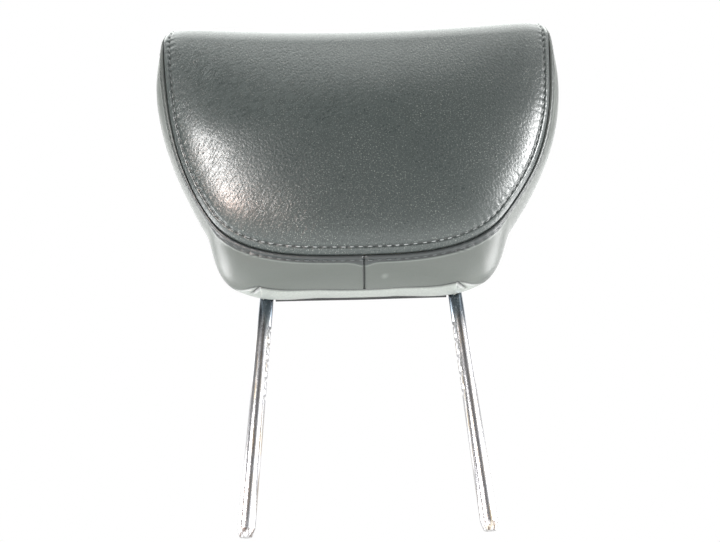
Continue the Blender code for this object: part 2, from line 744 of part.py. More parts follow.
def core_screw(index, x, z):
    """A screw through both core halves: pan head at the rear, plain shank with a point."""
    mesh = bmesh.new()
    top = CORE_HALF_DEPTH
    under = top - SCREW_HEAD_HEIGHT
    end = top - SCREW_LENGTH
    outline = [(0.0, top), (SCREW_HEAD_RADIUS * SCREW_HEAD_TOP_SHARE, top),
               (SCREW_HEAD_RADIUS, top - SCREW_HEAD_HEIGHT / 2), (SCREW_HEAD_RADIUS, under),
               (SCREW_RADIUS, under), (SCREW_RADIUS, end + SCREW_RADIUS), (0.0, end)]
    verts = [mesh.verts.new((radius, y, 0.0)) for radius, y in outline]
    for before, after in zip(verts, verts[1:]):
        mesh.edges.new((before, after))
    bmesh.ops.spin(mesh, geom=mesh.verts[:] + mesh.edges[:], cent=(0, 0, 0), axis=(0, 1, 0),
                   angle=2 * math.pi, steps=SCREW_SIDES, use_merge=True)
    bmesh.ops.remove_doubles(mesh, verts=mesh.verts, dist=0.00001)
    bmesh.ops.recalc_face_normals(mesh, faces=mesh.faces)
    bmesh.ops.translate(mesh, vec=(x, 0.0, z), verts=mesh.verts)
    return place("core_screw_" + str(index), mesh, (0.35, 0.34, 0.30), 0.35, 1.0, core_frame())


def foam_body(head):
    """Foam that fills the cover, with a cavity for the core and the slot that the core goes in by."""
    mesh = head.copy()
    wall = mesh.verts.layers.float_vector["wall"]
    for vert in mesh.verts:
        vert.co += vert[wall] * (COVER_WALL + GAP)
    foam = place("foam_body", mesh, (0.62, 0.58, 0.42), 0.9)
    cut(foam, tool("core_cavity", core_box(GAP, CORE_EDGE_BEVEL), core_frame()))
    half_width = POST_SPACING / 2 + POST_DIAMETER / 2 + SLOT_MARGIN
    half_depth = POST_DIAMETER / 2 + SLOT_MARGIN
    slot = box((-half_width, -half_depth, -CHIN_BULGE * 2), (half_width, half_depth, ROD_BEND_HEIGHT))
    cut(foam, tool("rod_slot", slot))
    leaning_width = half_width + GAP
    leaning_slot = box((-leaning_width, -half_depth, -half_depth),
                       (leaning_width, half_depth, CORE_START + CORE_WALL))
    cut(foam, tool("leaning_slot", leaning_slot, core_frame()))
    return foam


def strip_shares():
    """Shares along the seams at which the closing strips have their sections, from left to right."""
    end = share_below(POST_SPACING / 2 - POST_DIAMETER / 2 - STRIP_END_GAP)
    last = end - RIM_NEAR / FRONT_OUTLINE.length
    right = [stop for stop in STOPS[1:] if stop < last] + [end]
    return [-stop for stop in reversed(right)] + [0.0] + right


def closing_strip(name, front):
    """One of two hooked strips that close the cover between the posts, along the edges of the flaps."""
    opening = side_surface(0.0, CLOSING_FRONT) - side_surface(0.0, CLOSING_REAR)
    edge = opening.length / 2 - 2 * GAP
    wall = STRIP_WALL
    low = -STRIP_DROP
    high = low + STRIP_HEIGHT
    reach = -edge / 2
    lip = low + STRIP_LIP
    hook = [(edge, high), (edge, low), (reach, low), (reach, lip), (reach + wall, lip),
            (reach + wall, low + wall), (edge - wall, low + wall), (edge - wall, high)]
    if not front:
        hook = [(-forward, low + high - up) for forward, up in hook]
    mesh = bmesh.new()
    sections = []
    for t in strip_shares():
        ahead, behind = side_surface(t, CLOSING_FRONT), side_surface(t, CLOSING_REAR)
        forward = (ahead - behind).normalized()
        upward = forward.cross(Vector((1.0, 0.0, 0.0))).normalized()
        middle = (ahead + behind) / 2
        sections.append([mesh.verts.new(middle + forward * a + upward * b) for a, b in hook])
    for before, after in zip(sections, sections[1:]):
        for k in range(len(hook)):
            following = (k + 1) % len(hook)
            mesh.faces.new((before[k], before[following], after[following], after[k]))
    mesh.faces.new(sections[0])
    mesh.faces.new(sections[-1])
    bmesh.ops.recalc_face_normals(mesh, faces=mesh.faces)
    return place(name, mesh, (0.03, 0.03, 0.032), 0.5)


def build():
    """Model every piece of the headrest."""
    for thing in list(bpy.data.objects):
        bpy.data.objects.remove(thing)
    armature_rod()
    core_half("core_front_half", True)
    core_half("core_rear_half", False)
    for index, (x, z) in enumerate(screw_places(), 1):
        core_screw(index, x, z)
    head = sewn_head()
    foam_body(head)
    face = (0.075, 0.083, 0.083)
    smooth = (0.16, 0.17, 0.165)
    colours = {"front_panel": face, "back_panel": smooth, "side_panel_left": smooth,
               "side_panel_right": smooth, "bottom_flap_front": smooth, "bottom_flap_rear": smooth}
    holes = [post_hole(-1), post_hole(1)]
    for name, colour in colours.items():
        panel = cover_panel(head, name, colour)
        if "front_panel" not in name and "back_panel" not in name:
            for hole in holes:
                cut(panel, hole)
    head.free()
    closing_strip("closing_strip_front", True)
    closing_strip("closing_strip_rear", False)


build()
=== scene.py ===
"""Looks of a car headrest: sewn leather over foam on a bent chrome rod, dressed around its fixed frame.

Metres, +Z up along the posts, front towards -Y. Every cover panel starts as a flat pattern that lies in its
own plane, is lifted onto the head's form and then gets its seams, stitches and creases.
"""

from __future__ import annotations

import json
import logging
import math
from dataclasses import dataclass
from enum import Enum
from typing import Any, Callable, Sequence

import bmesh
import bpy
import numpy as np
from mathutils import Matrix, Vector, kdtree
from mathutils.bvhtree import BVHTree

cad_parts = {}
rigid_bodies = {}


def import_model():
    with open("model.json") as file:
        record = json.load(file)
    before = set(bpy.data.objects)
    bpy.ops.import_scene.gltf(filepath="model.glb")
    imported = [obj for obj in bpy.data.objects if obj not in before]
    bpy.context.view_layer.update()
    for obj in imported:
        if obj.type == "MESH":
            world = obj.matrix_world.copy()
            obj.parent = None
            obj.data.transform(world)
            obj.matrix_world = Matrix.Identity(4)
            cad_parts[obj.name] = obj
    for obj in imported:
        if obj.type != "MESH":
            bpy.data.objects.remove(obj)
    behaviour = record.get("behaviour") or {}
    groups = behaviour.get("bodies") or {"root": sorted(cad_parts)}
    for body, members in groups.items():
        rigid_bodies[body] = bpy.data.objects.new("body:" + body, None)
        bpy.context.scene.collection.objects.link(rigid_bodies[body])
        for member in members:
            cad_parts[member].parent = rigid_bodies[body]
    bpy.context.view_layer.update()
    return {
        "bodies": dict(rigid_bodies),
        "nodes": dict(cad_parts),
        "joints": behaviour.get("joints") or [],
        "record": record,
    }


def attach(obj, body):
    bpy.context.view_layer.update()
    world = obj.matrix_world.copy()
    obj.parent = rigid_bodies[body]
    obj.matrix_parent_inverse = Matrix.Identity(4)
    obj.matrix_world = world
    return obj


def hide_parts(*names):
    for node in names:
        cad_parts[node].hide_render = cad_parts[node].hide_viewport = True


LOG = logging.getLogger("headrest")
BODY = "root"
MM = 0.001
HEAD_CENTRE = Vector((0.0, -0.045, 0.095))
ORDER = Vector((1.0, 1e3, 1e6))  # sorts places by height first, then by depth, then sideways
SHARE_STEP = 0.004  # step along a seam, as a share of its length, over which its direction is taken
STITCH_KINDS = 512  # stitches that differ before their row repeats
Points = np.ndarray
Surface = Callable[[Points, Points], Points]


def smooth_share(value: Points, low: float, high: float) -> Points:
    """Smooth ramp from 0 at low to 1 at high."""
    share = np.clip((value - low) / (high - low), 0.0, 1.0)
    return share * share * (3 - 2 * share)


def hump(value: Points, centre: float, width: float) -> Points:
    """Soft hump of height 1 at the centre, fallen to about a third at a width from it."""
    return np.exp(-(((value - centre) / width) ** 2))


def unit(vectors: Points) -> Points:
    """Scale each vector to length 1."""
    return vectors / np.maximum(np.linalg.norm(vectors, axis=-1, keepdims=True), 1e-12)


def bezier(start: Points, start_pull: Points, end_pull: Points, end: Points, steps: int = 480) -> Points:
    """Close points of a cubic curve between two points, each with its handle."""
    t = np.linspace(0.0, 1.0, steps + 1)[:, None]
    return ((1 - t) ** 3 * start + 3 * (1 - t) ** 2 * t * start_pull
            + 3 * (1 - t) * t * t * end_pull + t ** 3 * end)


def leaning(angle: float) -> Points:
    """Direction in a side view that leans forward from upright by an angle."""
    return np.array((math.sin(angle), math.cos(angle)))


def along_line(points: Points) -> Points:
    """Distance of each point of a line from its start."""
    return np.concatenate(([0.0], np.cumsum(np.linalg.norm(np.diff(points, axis=0), axis=1))))


def read_rows(distance: Points, marks: Points, rows: Points) -> Points:
    """Rows of numbers that belong to marks along a line, read at distances between them."""
    return np.stack([np.interp(distance, marks, column) for column in rows.T], axis=-1)


def point_tree(points: Points) -> kdtree.KDTree:
    """Search tree of points in space, numbered in their order."""
    tree = kdtree.KDTree(len(points))
    for index, point in enumerate(points):
        tree.insert(point, index)
    tree.balance()
    return tree


class Track:
    """A smooth line in a plane, kept as close points and measured along its length."""

    def __init__(self, points: Points) -> None:
        """Measure the line that runs through close points."""
        self.points = points
        self.marks = along_line(points)

    @property
    def length(self) -> float:
        """Whole length of the line."""
        return float(self.marks[-1])

    def at(self, distance: Points) -> Points:
        """Points of the line at distances from its start."""
        return read_rows(distance, self.marks, self.points)


@dataclass(frozen=True)
class HeadSizes:
    """Driving sizes of the sewn head and its post holes, as in the fixed frame apart from the flap's seam."""

    chin_forward: float = 0.049
    chin_height: float = 0.0015
    chin_lean: float = math.radians(24)
    face_forward: float = 0.097
    face_height: float = 0.1610
    face_lean: float = math.radians(3)
    top_edge_radius: float = 0.036
    top_fall: float = math.radians(5)
    top_depth: float = 0.022
    rear_bottom_back: float = 0.016
    rear_bottom_height: float = 0.014
    rear_top_pull: float = 0.052
    rear_bottom_pull: float = 0.062
    rear_top_slope: float = math.radians(40)
    rear_bottom_lean: float = math.radians(7)
    top_half_width: float = 0.146
    rear_half_width: float = 0.145
    seam_lean: float = math.radians(10.5)
    corner_half_width: float = 0.0995
    corner_rise: float = 0.0288
    corner_angle: float = math.radians(53.5)
    corner_pull_below: float = 0.0345
    corner_pull_above: float = 0.052
    chin_pull: float = 0.039
    top_pull: float = 0.057
    panel_puff: float = 0.0050
    puff_reach: float = 0.007
    panel_crown: float = 0.0070
    crown_reach: float = 0.026
    crown_top: float = 0.50
    chin_bulge: float = 0.0155
    flap_end_bulge: float = 0.0222
    corner_bulge: float = 0.0075
    side_bulge: float = 0.0215
    side_fade: float = 12.0
    side_full: float = 0.9
    side_roundness: float = 0.8
    top_lift_onset: int = 9
    widening_start: float = 0.20
    widening_end: float = 0.64
    kink_start: float = 0.71
    kink_end: float = 1.04
    face_bow: float = 0.006
    face_bow_fade: float = 0.3
    back_bow: float = 0.010
    top_saddle: float = 0.0062
    top_saddle_forward: float = 0.5
    flap_start: float = 0.42
    flap_sweep: float = 0.09
    fold_rise: float = 0.27
    fold_length: float = 0.075
    closing_gap: float = 0.0072
    post_spacing: float = 0.138
    post_diameter: float = 0.010
    post_hole_margin: float = 0.0008


class HeadForm:
    """The head's smooth form: its front, back, sides and underside, and where they are sewn together."""

    def __init__(self, sizes: HeadSizes) -> None:
        """Work out the profiles and outlines.

        Args:
            sizes: Driving sizes of the head.
        """
        self.sizes = sizes
        self.front, self.face_length = self._front_profile()
        self.back = self._back_profile(self.front.points[-1])
        self.front_outline, corner = self._half_outline(sizes.top_half_width, self.face_length)
        self.back_outline, back_corner = self._half_outline(sizes.rear_half_width, self.back.length)
        self.corner_length = corner
        self.back_corner_length = back_corner
        self.corner_share = corner / self.front_outline.length
        self.underside_depth = sizes.chin_forward + sizes.rear_bottom_back
        self.closing_front = (sizes.chin_forward - sizes.closing_gap / 2) / self.underside_depth
        self.closing_rear = (sizes.chin_forward + sizes.closing_gap / 2) / self.underside_depth
        self.flap_end = self._share_below(sizes.post_spacing / 2)

    def _front_profile(self) -> tuple[Track, float]:
        """Side view from the chin seam over the face and the top to the rear seam, and the face's length."""
        s = self.sizes
        chin = np.array((s.chin_forward, s.chin_height))
        face_top = np.array((s.face_forward, s.face_height))
        pull = np.linalg.norm(face_top - chin) / 3
        face = bezier(chin, chin + leaning(s.chin_lean) * pull, face_top - leaning(s.face_lean) * pull, face_top)
        centre = face_top + np.array((-math.cos(s.face_lean), math.sin(s.face_lean))) * s.top_edge_radius
        angles = np.linspace(-s.face_lean, math.pi / 2 + s.top_fall, 240)[1:]
        edge = centre + np.stack([np.cos(angles), np.sin(angles)], axis=-1) * s.top_edge_radius
        backward = np.array((-math.cos(s.top_fall), -math.sin(s.top_fall)))
        top = edge[-1] + backward * np.linspace(0.0, s.top_depth, 120)[1:, None]
        return Track(np.concatenate((face, edge, top))), Track(face).length

    def _back_profile(self, rear_seam: Points) -> Track:
        """Side view from the rear seam at the top down to the closing flap."""
        s = self.sizes
        bottom = np.array((-s.rear_bottom_back, s.rear_bottom_height))
        slope = np.array((-math.cos(s.rear_top_slope), -math.sin(s.rear_top_slope)))
        upright = leaning(-s.rear_bottom_lean)
        return Track(bezier(rear_seam, rear_seam + slope * s.rear_top_pull,
                            bottom + upright * s.rear_bottom_pull, bottom))

    def _half_outline(self, top_half_width: float, length: float) -> tuple[Track, float]:
        """Half of a side seam from the bottom's middle to the top, and its length up to the corner."""
        s = self.sizes
        corner = np.array((s.corner_half_width, s.corner_rise))
        along = np.array((math.cos(s.corner_angle), math.sin(s.corner_angle)))
        top = np.array((top_half_width, length))
        upward = np.array((math.sin(s.seam_lean), math.cos(s.seam_lean)))
        lower = bezier(np.zeros(2), np.array((s.chin_pull, 0.0)), corner - along * s.corner_pull_below, corner)
        upper = bezier(corner, corner + along * s.corner_pull_above, top - upward * s.top_pull, top)
        return Track(np.concatenate((lower, upper[1:]))), Track(lower).length

    def front_surface(self, x: Points, along: Points) -> Points:
        """Points of the seam-level front: x sideways, along measured up from the chin seam."""
        s = self.sizes
        point = self.front.at(along)
        sideways = (x / s.top_half_width) ** 2
        upper = smooth_share(along, s.face_bow_fade * self.face_length, self.face_length)
        saddle = s.top_saddle * sideways * upper
        forward = point[..., 0] - s.face_bow * sideways * (1 - upper) + s.top_saddle_forward * saddle
        return np.stack([x, -forward, point[..., 1] + saddle], axis=-1)

    def back_surface(self, x: Points, up: Points) -> Points:
        """Points of the seam-level back: x sideways, up measured from its bottom seam."""
        s = self.sizes
        along = self.back.length - up
        point = self.back.at(along)
        end = np.full_like(x, self.front.length)
        lift = self.front_surface(x, end) - self.front_surface(np.zeros_like(x), end)
        fade = 1 - smooth_share(along, 0.0, self.back.length)
        sideways = (x / s.top_half_width) ** 2
        share = np.clip(along / self.back.length, 0.0, 1.0)
        forward = point[..., 0] + s.back_bow * sideways * np.sin(math.pi * share)
        return np.stack([x, -forward + lift[..., 1] * fade, point[..., 1] + lift[..., 2] * fade], axis=-1)

    def front_seam(self, t: Points) -> Points:
        """Points of the right-hand seam between face and side, t from the bottom's middle to the top."""
        flat = self.front_outline.at(t * self.front_outline.length)
        return self.front_surface(flat[..., 0], flat[..., 1])

    def back_seam(self, t: Points) -> Points:
        """Points of the right-hand seam between back and side."""
        flat = self.back_outline.at(t * self.back_outline.length)
        return self.back_surface(flat[..., 0], flat[..., 1])

    def top_seam_flat(self, s: Points) -> Points:
        """Flat places of the right-hand seam over the top, from the face to the rear seam."""
        z = self.sizes
        x = z.top_half_width + (z.rear_half_width - z.top_half_width) * s
        return np.stack([x, self.face_length + (self.front.length - self.face_length) * s], axis=-1)

    def side_bulge(self, t: Points) -> Points:
        """How far the side stands out from the straight line between its two seams."""
        s, corner = self.sizes, self.corner_share
        share = t / corner
        widening = smooth_share(share, s.widening_start, s.widening_end)
        below = s.chin_bulge + (s.flap_end_bulge - s.chin_bulge) * widening
        lower = below + (s.corner_bulge - below) * smooth_share(share, s.kink_start, s.kink_end)
        upper = lower + (s.side_bulge - lower) * smooth_share(t, corner, corner + (1 - corner) * s.side_full)
        return upper * (1 - t ** s.side_fade)

    def side_surface(self, t: Points, s: Points) -> Points:
        """Points of the right-hand side and underside, s from the front seam to the back seam."""
        t, s = np.broadcast_arrays(np.clip(t, 0.0, 1.0), np.clip(s, 0.0, 1.0))
        start, end = self.front_seam(t), self.back_seam(t)
        chord = start + (end - start) * s[..., None]
        edge = self.front_seam(np.minimum(t + SHARE_STEP, 1.0)) - self.front_seam(np.maximum(t - SHARE_STEP, 0.0))
        outward = unit(np.stack([edge[..., 2], np.zeros_like(t), -edge[..., 0]], axis=-1))
        crown = np.maximum(1 - (2 * s - 1) ** 2, 0.0) ** self.sizes.side_roundness
        flat = self.top_seam_flat(s)
        ones = np.ones_like(t)
        first, last = self.front_seam(ones), self.back_seam(ones)
        top_lift = self.front_surface(flat[..., 0], flat[..., 1]) - first - (last - first) * s[..., None]
        return (chord + outward * (crown * self.side_bulge(t))[..., None]
                + top_lift * (t ** self.sizes.top_lift_onset)[..., None])

    def flap_level(self, t: Points) -> Points:
        """Share across the side at which the flap is sewn on, and beyond the flap's end where the leather folds."""
        s = self.sizes
        sewn = s.flap_start - s.flap_sweep * (np.minimum(t, self.flap_end) / self.flap_end) ** 2
        return sewn + s.fold_rise * smooth_share(t, self.flap_end, self.flap_end + s.fold_length)

    def along_flap(self, t: Points, v: Points) -> Points:
        """Shares across the side for rows of cells that follow the flap's seam.

        Args:
            t: Shares along the seams.
            v: Rows, of which the one at the flap's start lies on its seam.

        Returns:
            Shares across the side.
        """
        start, end, level = self.sizes.flap_start, self.closing_front, self.flap_level(t)
        between = level + (v - start) / (end - start) * (end - level)
        return np.where(v < start, v * level / start, np.where(v < end, between, v))

    def swell(self, depth: Points, up: Points) -> Points:
        """Swell of the front or back panel at a depth inside its seams and a height up from its bottom."""
        s = self.sizes
        crown = s.panel_crown * (1 - smooth_share(up, s.crown_top * self.face_length, self.face_length))
        return s.panel_puff * (1 - np.exp(-depth / s.puff_reach)) + crown * (1 - np.exp(-depth / s.crown_reach))

    def _share_below(self, x: float) -> float:
        """Share along the seams at which the closing line lies a distance sideways from the middle."""
        shares = np.linspace(0.0, self.corner_share, 400)
        middle = np.full_like(shares, (self.closing_front + self.closing_rear) / 2)
        return float(np.interp(x, self.side_surface(shares, middle)[:, 0], shares))


def normals(surface: Surface, a: Points, b: Points, step_a: float, step_b: float) -> Points:
    """Unit normals of a surface, by the right-hand rule from a to b.

    Args:
        surface: Function that gives points for two parameters.
        a: First parameter at each place.
        b: Second parameter at each place.
        step_a: Small step of the first parameter.
        step_b: Small step of the second parameter.

    Returns:
        One unit vector for each place.
    """
    across = surface(a + step_a, b) - surface(a - step_a, b)
    upward = surface(a, b + step_b) - surface(a, b - step_b)
    return unit(np.cross(across, upward))


class SeamLine:
    """A sewn line on the head, with the way out of the head and the normals of the two panels beside it."""

    def __init__(self, points: Points, first: Points, second: Points) -> None:
        """Store close points of the line.

        Args:
            points: Places along the seam.
            first: Normal of the first panel at each place.
            second: Normal of the second panel at each place.
        """
        self.points = points
        self.first = first
        self.second = second
        self.outward = unit(first + second)
        self.tangent = unit(np.gradient(points, axis=0))
        self.marks = along_line(points)
        self.tree = point_tree(points)

    @property
    def length(self) -> float:
        """Whole length of the seam."""
        return float(self.marks[-1])

    def near(self, places: Points) -> tuple[Points, Points, Points]:
        """Measure places against the seam.

        Args:
            places: Points in space.

        Returns:
            Distance from the seam, distance along it and the way out of the head there.
        """
        indices = np.array([self.tree.find(place)[1] for place in places])
        gaps = places - self.points[indices]
        return np.linalg.norm(gaps, axis=1), self.marks[indices], self.outward[indices]

    def at(self, values: Points, along: Points) -> Points:
        """Read one of the seam's rows of vectors at distances along it."""
        return read_rows(along, self.marks, values)


@dataclass(frozen=True)
class SeamLook:
    """How a seam shapes the leather beside it: a groove, and a row of stitches where there is one."""

    groove_depth: float = 0.35 * MM
    groove_width: float = 0.55 * MM
    row: float = 0.0
    pitch: float = 6.0 * MM
    ridge: float = 0.40 * MM
    ridge_share: float = 0.33
    trench: float = 0.45 * MM
    hole: float = 0.50 * MM
    pillow: float = 0.22 * MM
    crease: float = 0.28 * MM
    crease_reach: float = 4.0 * MM
    thread: float = 0.50 * MM
    fold_edge: float = 0.0
    fold_height: float = 0.50 * MM
    # The dark_ sizes set the painted shade in the groove and along the stitch row, darkest in the holes.
    dark_width: float = 0.90 * MM
    dark_share: float = 1.0
    taper: float = 0.0
    taper_start: float = 0.3
    seed: int = 1
    dark_row_width: float = 0.65 * MM
    dark_between_holes: float = 0.42
    dark_hole_share: float = 0.30
    hole_share: float = 0.17
    hole_width: float = 0.9 * MM
    trench_width: float = 0.7 * MM
    pillows: tuple[tuple[float, float], ...] = ((1.9 * MM, 1.3 * MM), (-1.7 * MM, 0.9 * MM))
    fold_softness: float = 0.35 * MM
    crease_strengths: tuple[float, float] = (0.15, 1.0)
    crease_reaches: tuple[float, float] = (0.4, 1.9)

    def groove(self, distance: Points) -> Points:
        """How deep the leather turns into the seam."""
        return self.groove_depth * np.exp(-((distance / self.groove_width) ** 2))

    def painted_shade(self, distance: Points, along: Points) -> Points:
        """Painted shade in the seam's groove and along its row of stitches, darkest in the holes, from 0 to 1."""
        crevice = self.dark_share * hump(distance, 0.0, self.dark_width)
        if not self.row:
            return crevice
        holes = hump((along / self.pitch) % 1.0, 0.5, self.dark_hole_share)
        row = self.dark_between_holes + (1 - self.dark_between_holes) * holes
        return np.maximum(crevice, hump(distance, self.row, self.dark_row_width) * row)

    def presence(self, along: Points, length: float) -> Points:
        """How far the seam shows at distances along it: folds run out at their ends, seams don't."""
        if not self.taper:
            return np.ones_like(along)
        start = smooth_share(along, 0.0, self.taper_start * self.taper)
        return start * (1 - smooth_share(along, length - self.taper, length))

    def relief(self, distance: Points, along: Points) -> Points:
        """Height of the leather over its smooth form.

        Args:
            distance: Distance from the seam.
            along: Distance along the seam.

        Returns:
            Heights, positive outward.
        """
        if not self.row:
            return np.zeros_like(distance)
        rng = np.random.default_rng(self.seed)
        strengths = rng.uniform(*self.crease_strengths, STITCH_KINDS)
        reaches = rng.uniform(*self.crease_reaches, STITCH_KINDS)
        phase = along / self.pitch
        number = np.floor(phase).astype(int) % STITCH_KINDS
        hole = hump(phase % 1.0, 0.5, self.hole_share)
        beyond = np.maximum(distance - self.row, 0.0)
        fade = np.exp(-beyond / (self.crease_reach * reaches[number]))
        creases = hole * strengths[number] * fade * smooth_share(distance, self.row - 0.5 * MM, self.row + MM)
        pillows = sum(hump(distance, self.row + offset, width) for offset, width in self.pillows)
        fold = 1 - smooth_share(distance, self.fold_edge - self.fold_softness, self.fold_edge + self.fold_softness)
        folded = self.fold_height * fold if self.fold_edge else 0.0
        return (folded + self.ridge * hump(distance, self.row / 2, self.ridge_share * self.row)
                - self.trench * hump(distance, self.row, self.trench_width)
                - self.hole * hole * hump(distance, self.row, self.hole_width)
                + self.pillow * (1 - hole) * pillows
                - self.crease * creases)


def only(items: Sequence[Any], kind: type) -> list[Any]:
    """The vertices or the edges among the results of a bmesh operator."""
    return [item for item in items if isinstance(item, kind)]


class NetCut:
    """Flat cut of a panel that is sewn along its bottom and both sides in one curve.

    A net of cells fills the middle, and rows of cells that follow the sewn curve are extruded round it.
    """

    def __init__(self, half: Points, corner: int, depths: Sequence[float]) -> None:
        """Lay out the rows.

        Args:
            half: Stations on the right half of the sewn curve, from the bottom's middle to the top.
            corner: Index of the station at the lower corner.
            depths: Distance of each row inside the sewn curve, from the edge inward.
        """
        left = half[:0:-1] * np.array((-1.0, 1.0))
        self.stations = np.concatenate((left, half))
        self.columns = 2 * corner
        self.rows = len(half) - 1 - corner
        self.rings = [self._inset(depth) for depth in depths]

    def _inset(self, depth: float) -> Points:
        """The sewn curve moved inward by a depth, with both ends sliding along the top edge."""
        side = self.stations
        along = side[2:] - side[:-2]
        reach = round(depth / np.linalg.norm(side[1] - side[0]))
        wide = np.pad(along, ((reach, reach), (0, 0)), "edge")
        kernel = np.ones(2 * reach + 1)
        along = unit(np.stack([np.convolve(wide[:, axis], kernel, "valid") for axis in (0, 1)], axis=-1))
        moved = side.copy()
        moved[1:-1] += np.stack([-along[:, 1], along[:, 0]], axis=-1) * depth
        moved[0, 0] += depth
        moved[-1, 0] -= depth
        return moved

    def _net(self) -> Points:
        """Places of the middle net, indexed by column and row."""
        ring, rows, columns = self.rings[-1], self.rows, self.columns
        bottom = ring[rows:len(ring) - rows]
        left, right = ring[rows::-1], ring[-rows - 1:]
        u = np.linspace(0.0, 1.0, columns + 1)[:, None, None]
        v = np.linspace(0.0, 1.0, rows + 1)[None, :, None]
        top = ring[0] + (ring[-1] - ring[0]) * u
        corners = (bottom[0] * (1 - u) * (1 - v) + bottom[-1] * u * (1 - v)
                   + ring[0] * (1 - u) * v + ring[-1] * u * v)
        return (bottom[:, None] * (1 - v) + top * v + left[None] * (1 - u) + right[None] * u - corners)

    def build(self) -> bmesh.types.BMesh:
        """Make the flat cut.

        Returns:
            The mesh in its own plane, facing up.
        """
        rows, columns = self.rows, self.columns
        net = self._net()
        mesh = bmesh.new()
        bmesh.ops.create_grid(mesh, x_segments=columns, y_segments=rows, size=0.5)
        station = mesh.verts.layers.int.new("station")
        for vert in mesh.verts:
            i, j = round((vert.co.x + 0.5) * columns), round((vert.co.y + 0.5) * rows)
            vert.co = (*net[i, j], 0.0)
            vert[station] = rows - j if i == 0 else rows + columns + j if i == columns else rows + i if j == 0 else -1
        edges = self._sewn_edges(mesh.edges, station)
        for ring in reversed(self.rings[:-1]):
            grown = bmesh.ops.extrude_edge_only(mesh, edges=edges)["geom"]
            for vert in only(grown, bmesh.types.BMVert):
                vert.co = (*ring[vert[station]], 0.0)
            edges = self._sewn_edges(only(grown, bmesh.types.BMEdge), station)
        bmesh.ops.recalc_face_normals(mesh, faces=mesh.faces)
        mesh.faces.ensure_lookup_table()
        if mesh.faces[0].normal.z < 0:
            bmesh.ops.reverse_faces(mesh, faces=mesh.faces)
        return mesh

    @staticmethod
    def _sewn_edges(edges: Sequence[bmesh.types.BMEdge], station: Any) -> list[bmesh.types.BMEdge]:
        """The open edges between neighbouring stations."""
        def sewn(first: int, second: int) -> bool:
            """Whether two stations are neighbours on the sewn curve."""
            return min(first, second) >= 0 and abs(first - second) == 1

        return [edge for edge in edges if edge.is_boundary and sewn(*(vert[station] for vert in edge.verts))]


class GridCut:
    """Flat cut of a panel whose cells follow two families of lines."""

    def __init__(self, first: Points, second: Points) -> None:
        """Store the lines.

        Args:
            first: Values of the first parameter, in rising order.
            second: Values of the second parameter, in rising order.
        """
        self.first = first
        self.second = second

    def build(self, keep: Callable[[float, float], bool] | None = None) -> bmesh.types.BMesh:
        """Make the flat cut.

        Args:
            keep: Test for the middle of a cell; cells that fail it are cut away.

        Returns:
            The mesh in its own plane, facing up.
        """
        columns, rows = len(self.first) - 1, len(self.second) - 1
        mesh = bmesh.new()
        bmesh.ops.create_grid(mesh, x_segments=columns, y_segments=rows, size=0.5)
        for vert in mesh.verts:
            i, j = round((vert.co.x + 0.5) * columns), round((vert.co.y + 0.5) * rows)
            vert.co = (self.first[i], self.second[j], 0.0)
        if keep:
            lost = [face for face in mesh.faces if not keep(*face.calc_center_median().xy)]
            bmesh.ops.delete(mesh, geom=lost, context="FACES")
        return mesh


def merged(fixed: Sequence[float], wanted: Sequence[float], least: float) -> Points:
    """Rising values that include all fixed ones and those wanted ones that lie clear of the ones before.

    Args:
        fixed: Values that are always kept.
        wanted: More values, the most important first.
        least: Smallest distance of a wanted value from the others.

    Returns:
        The kept values.
    """
    kept = list(fixed)
    for value in wanted:
        if min(fixed) < value < max(fixed) and min(abs(value - other) for other in kept) >= least:
            kept.append(value)
    return np.array(sorted(kept))


def beside(lines: Sequence[float], steps: Sequence[float]) -> list[float]:
    """Values at steps to both sides of each line."""
    return [line + sign * step for step in steps for line in lines for sign in (-1, 1)]


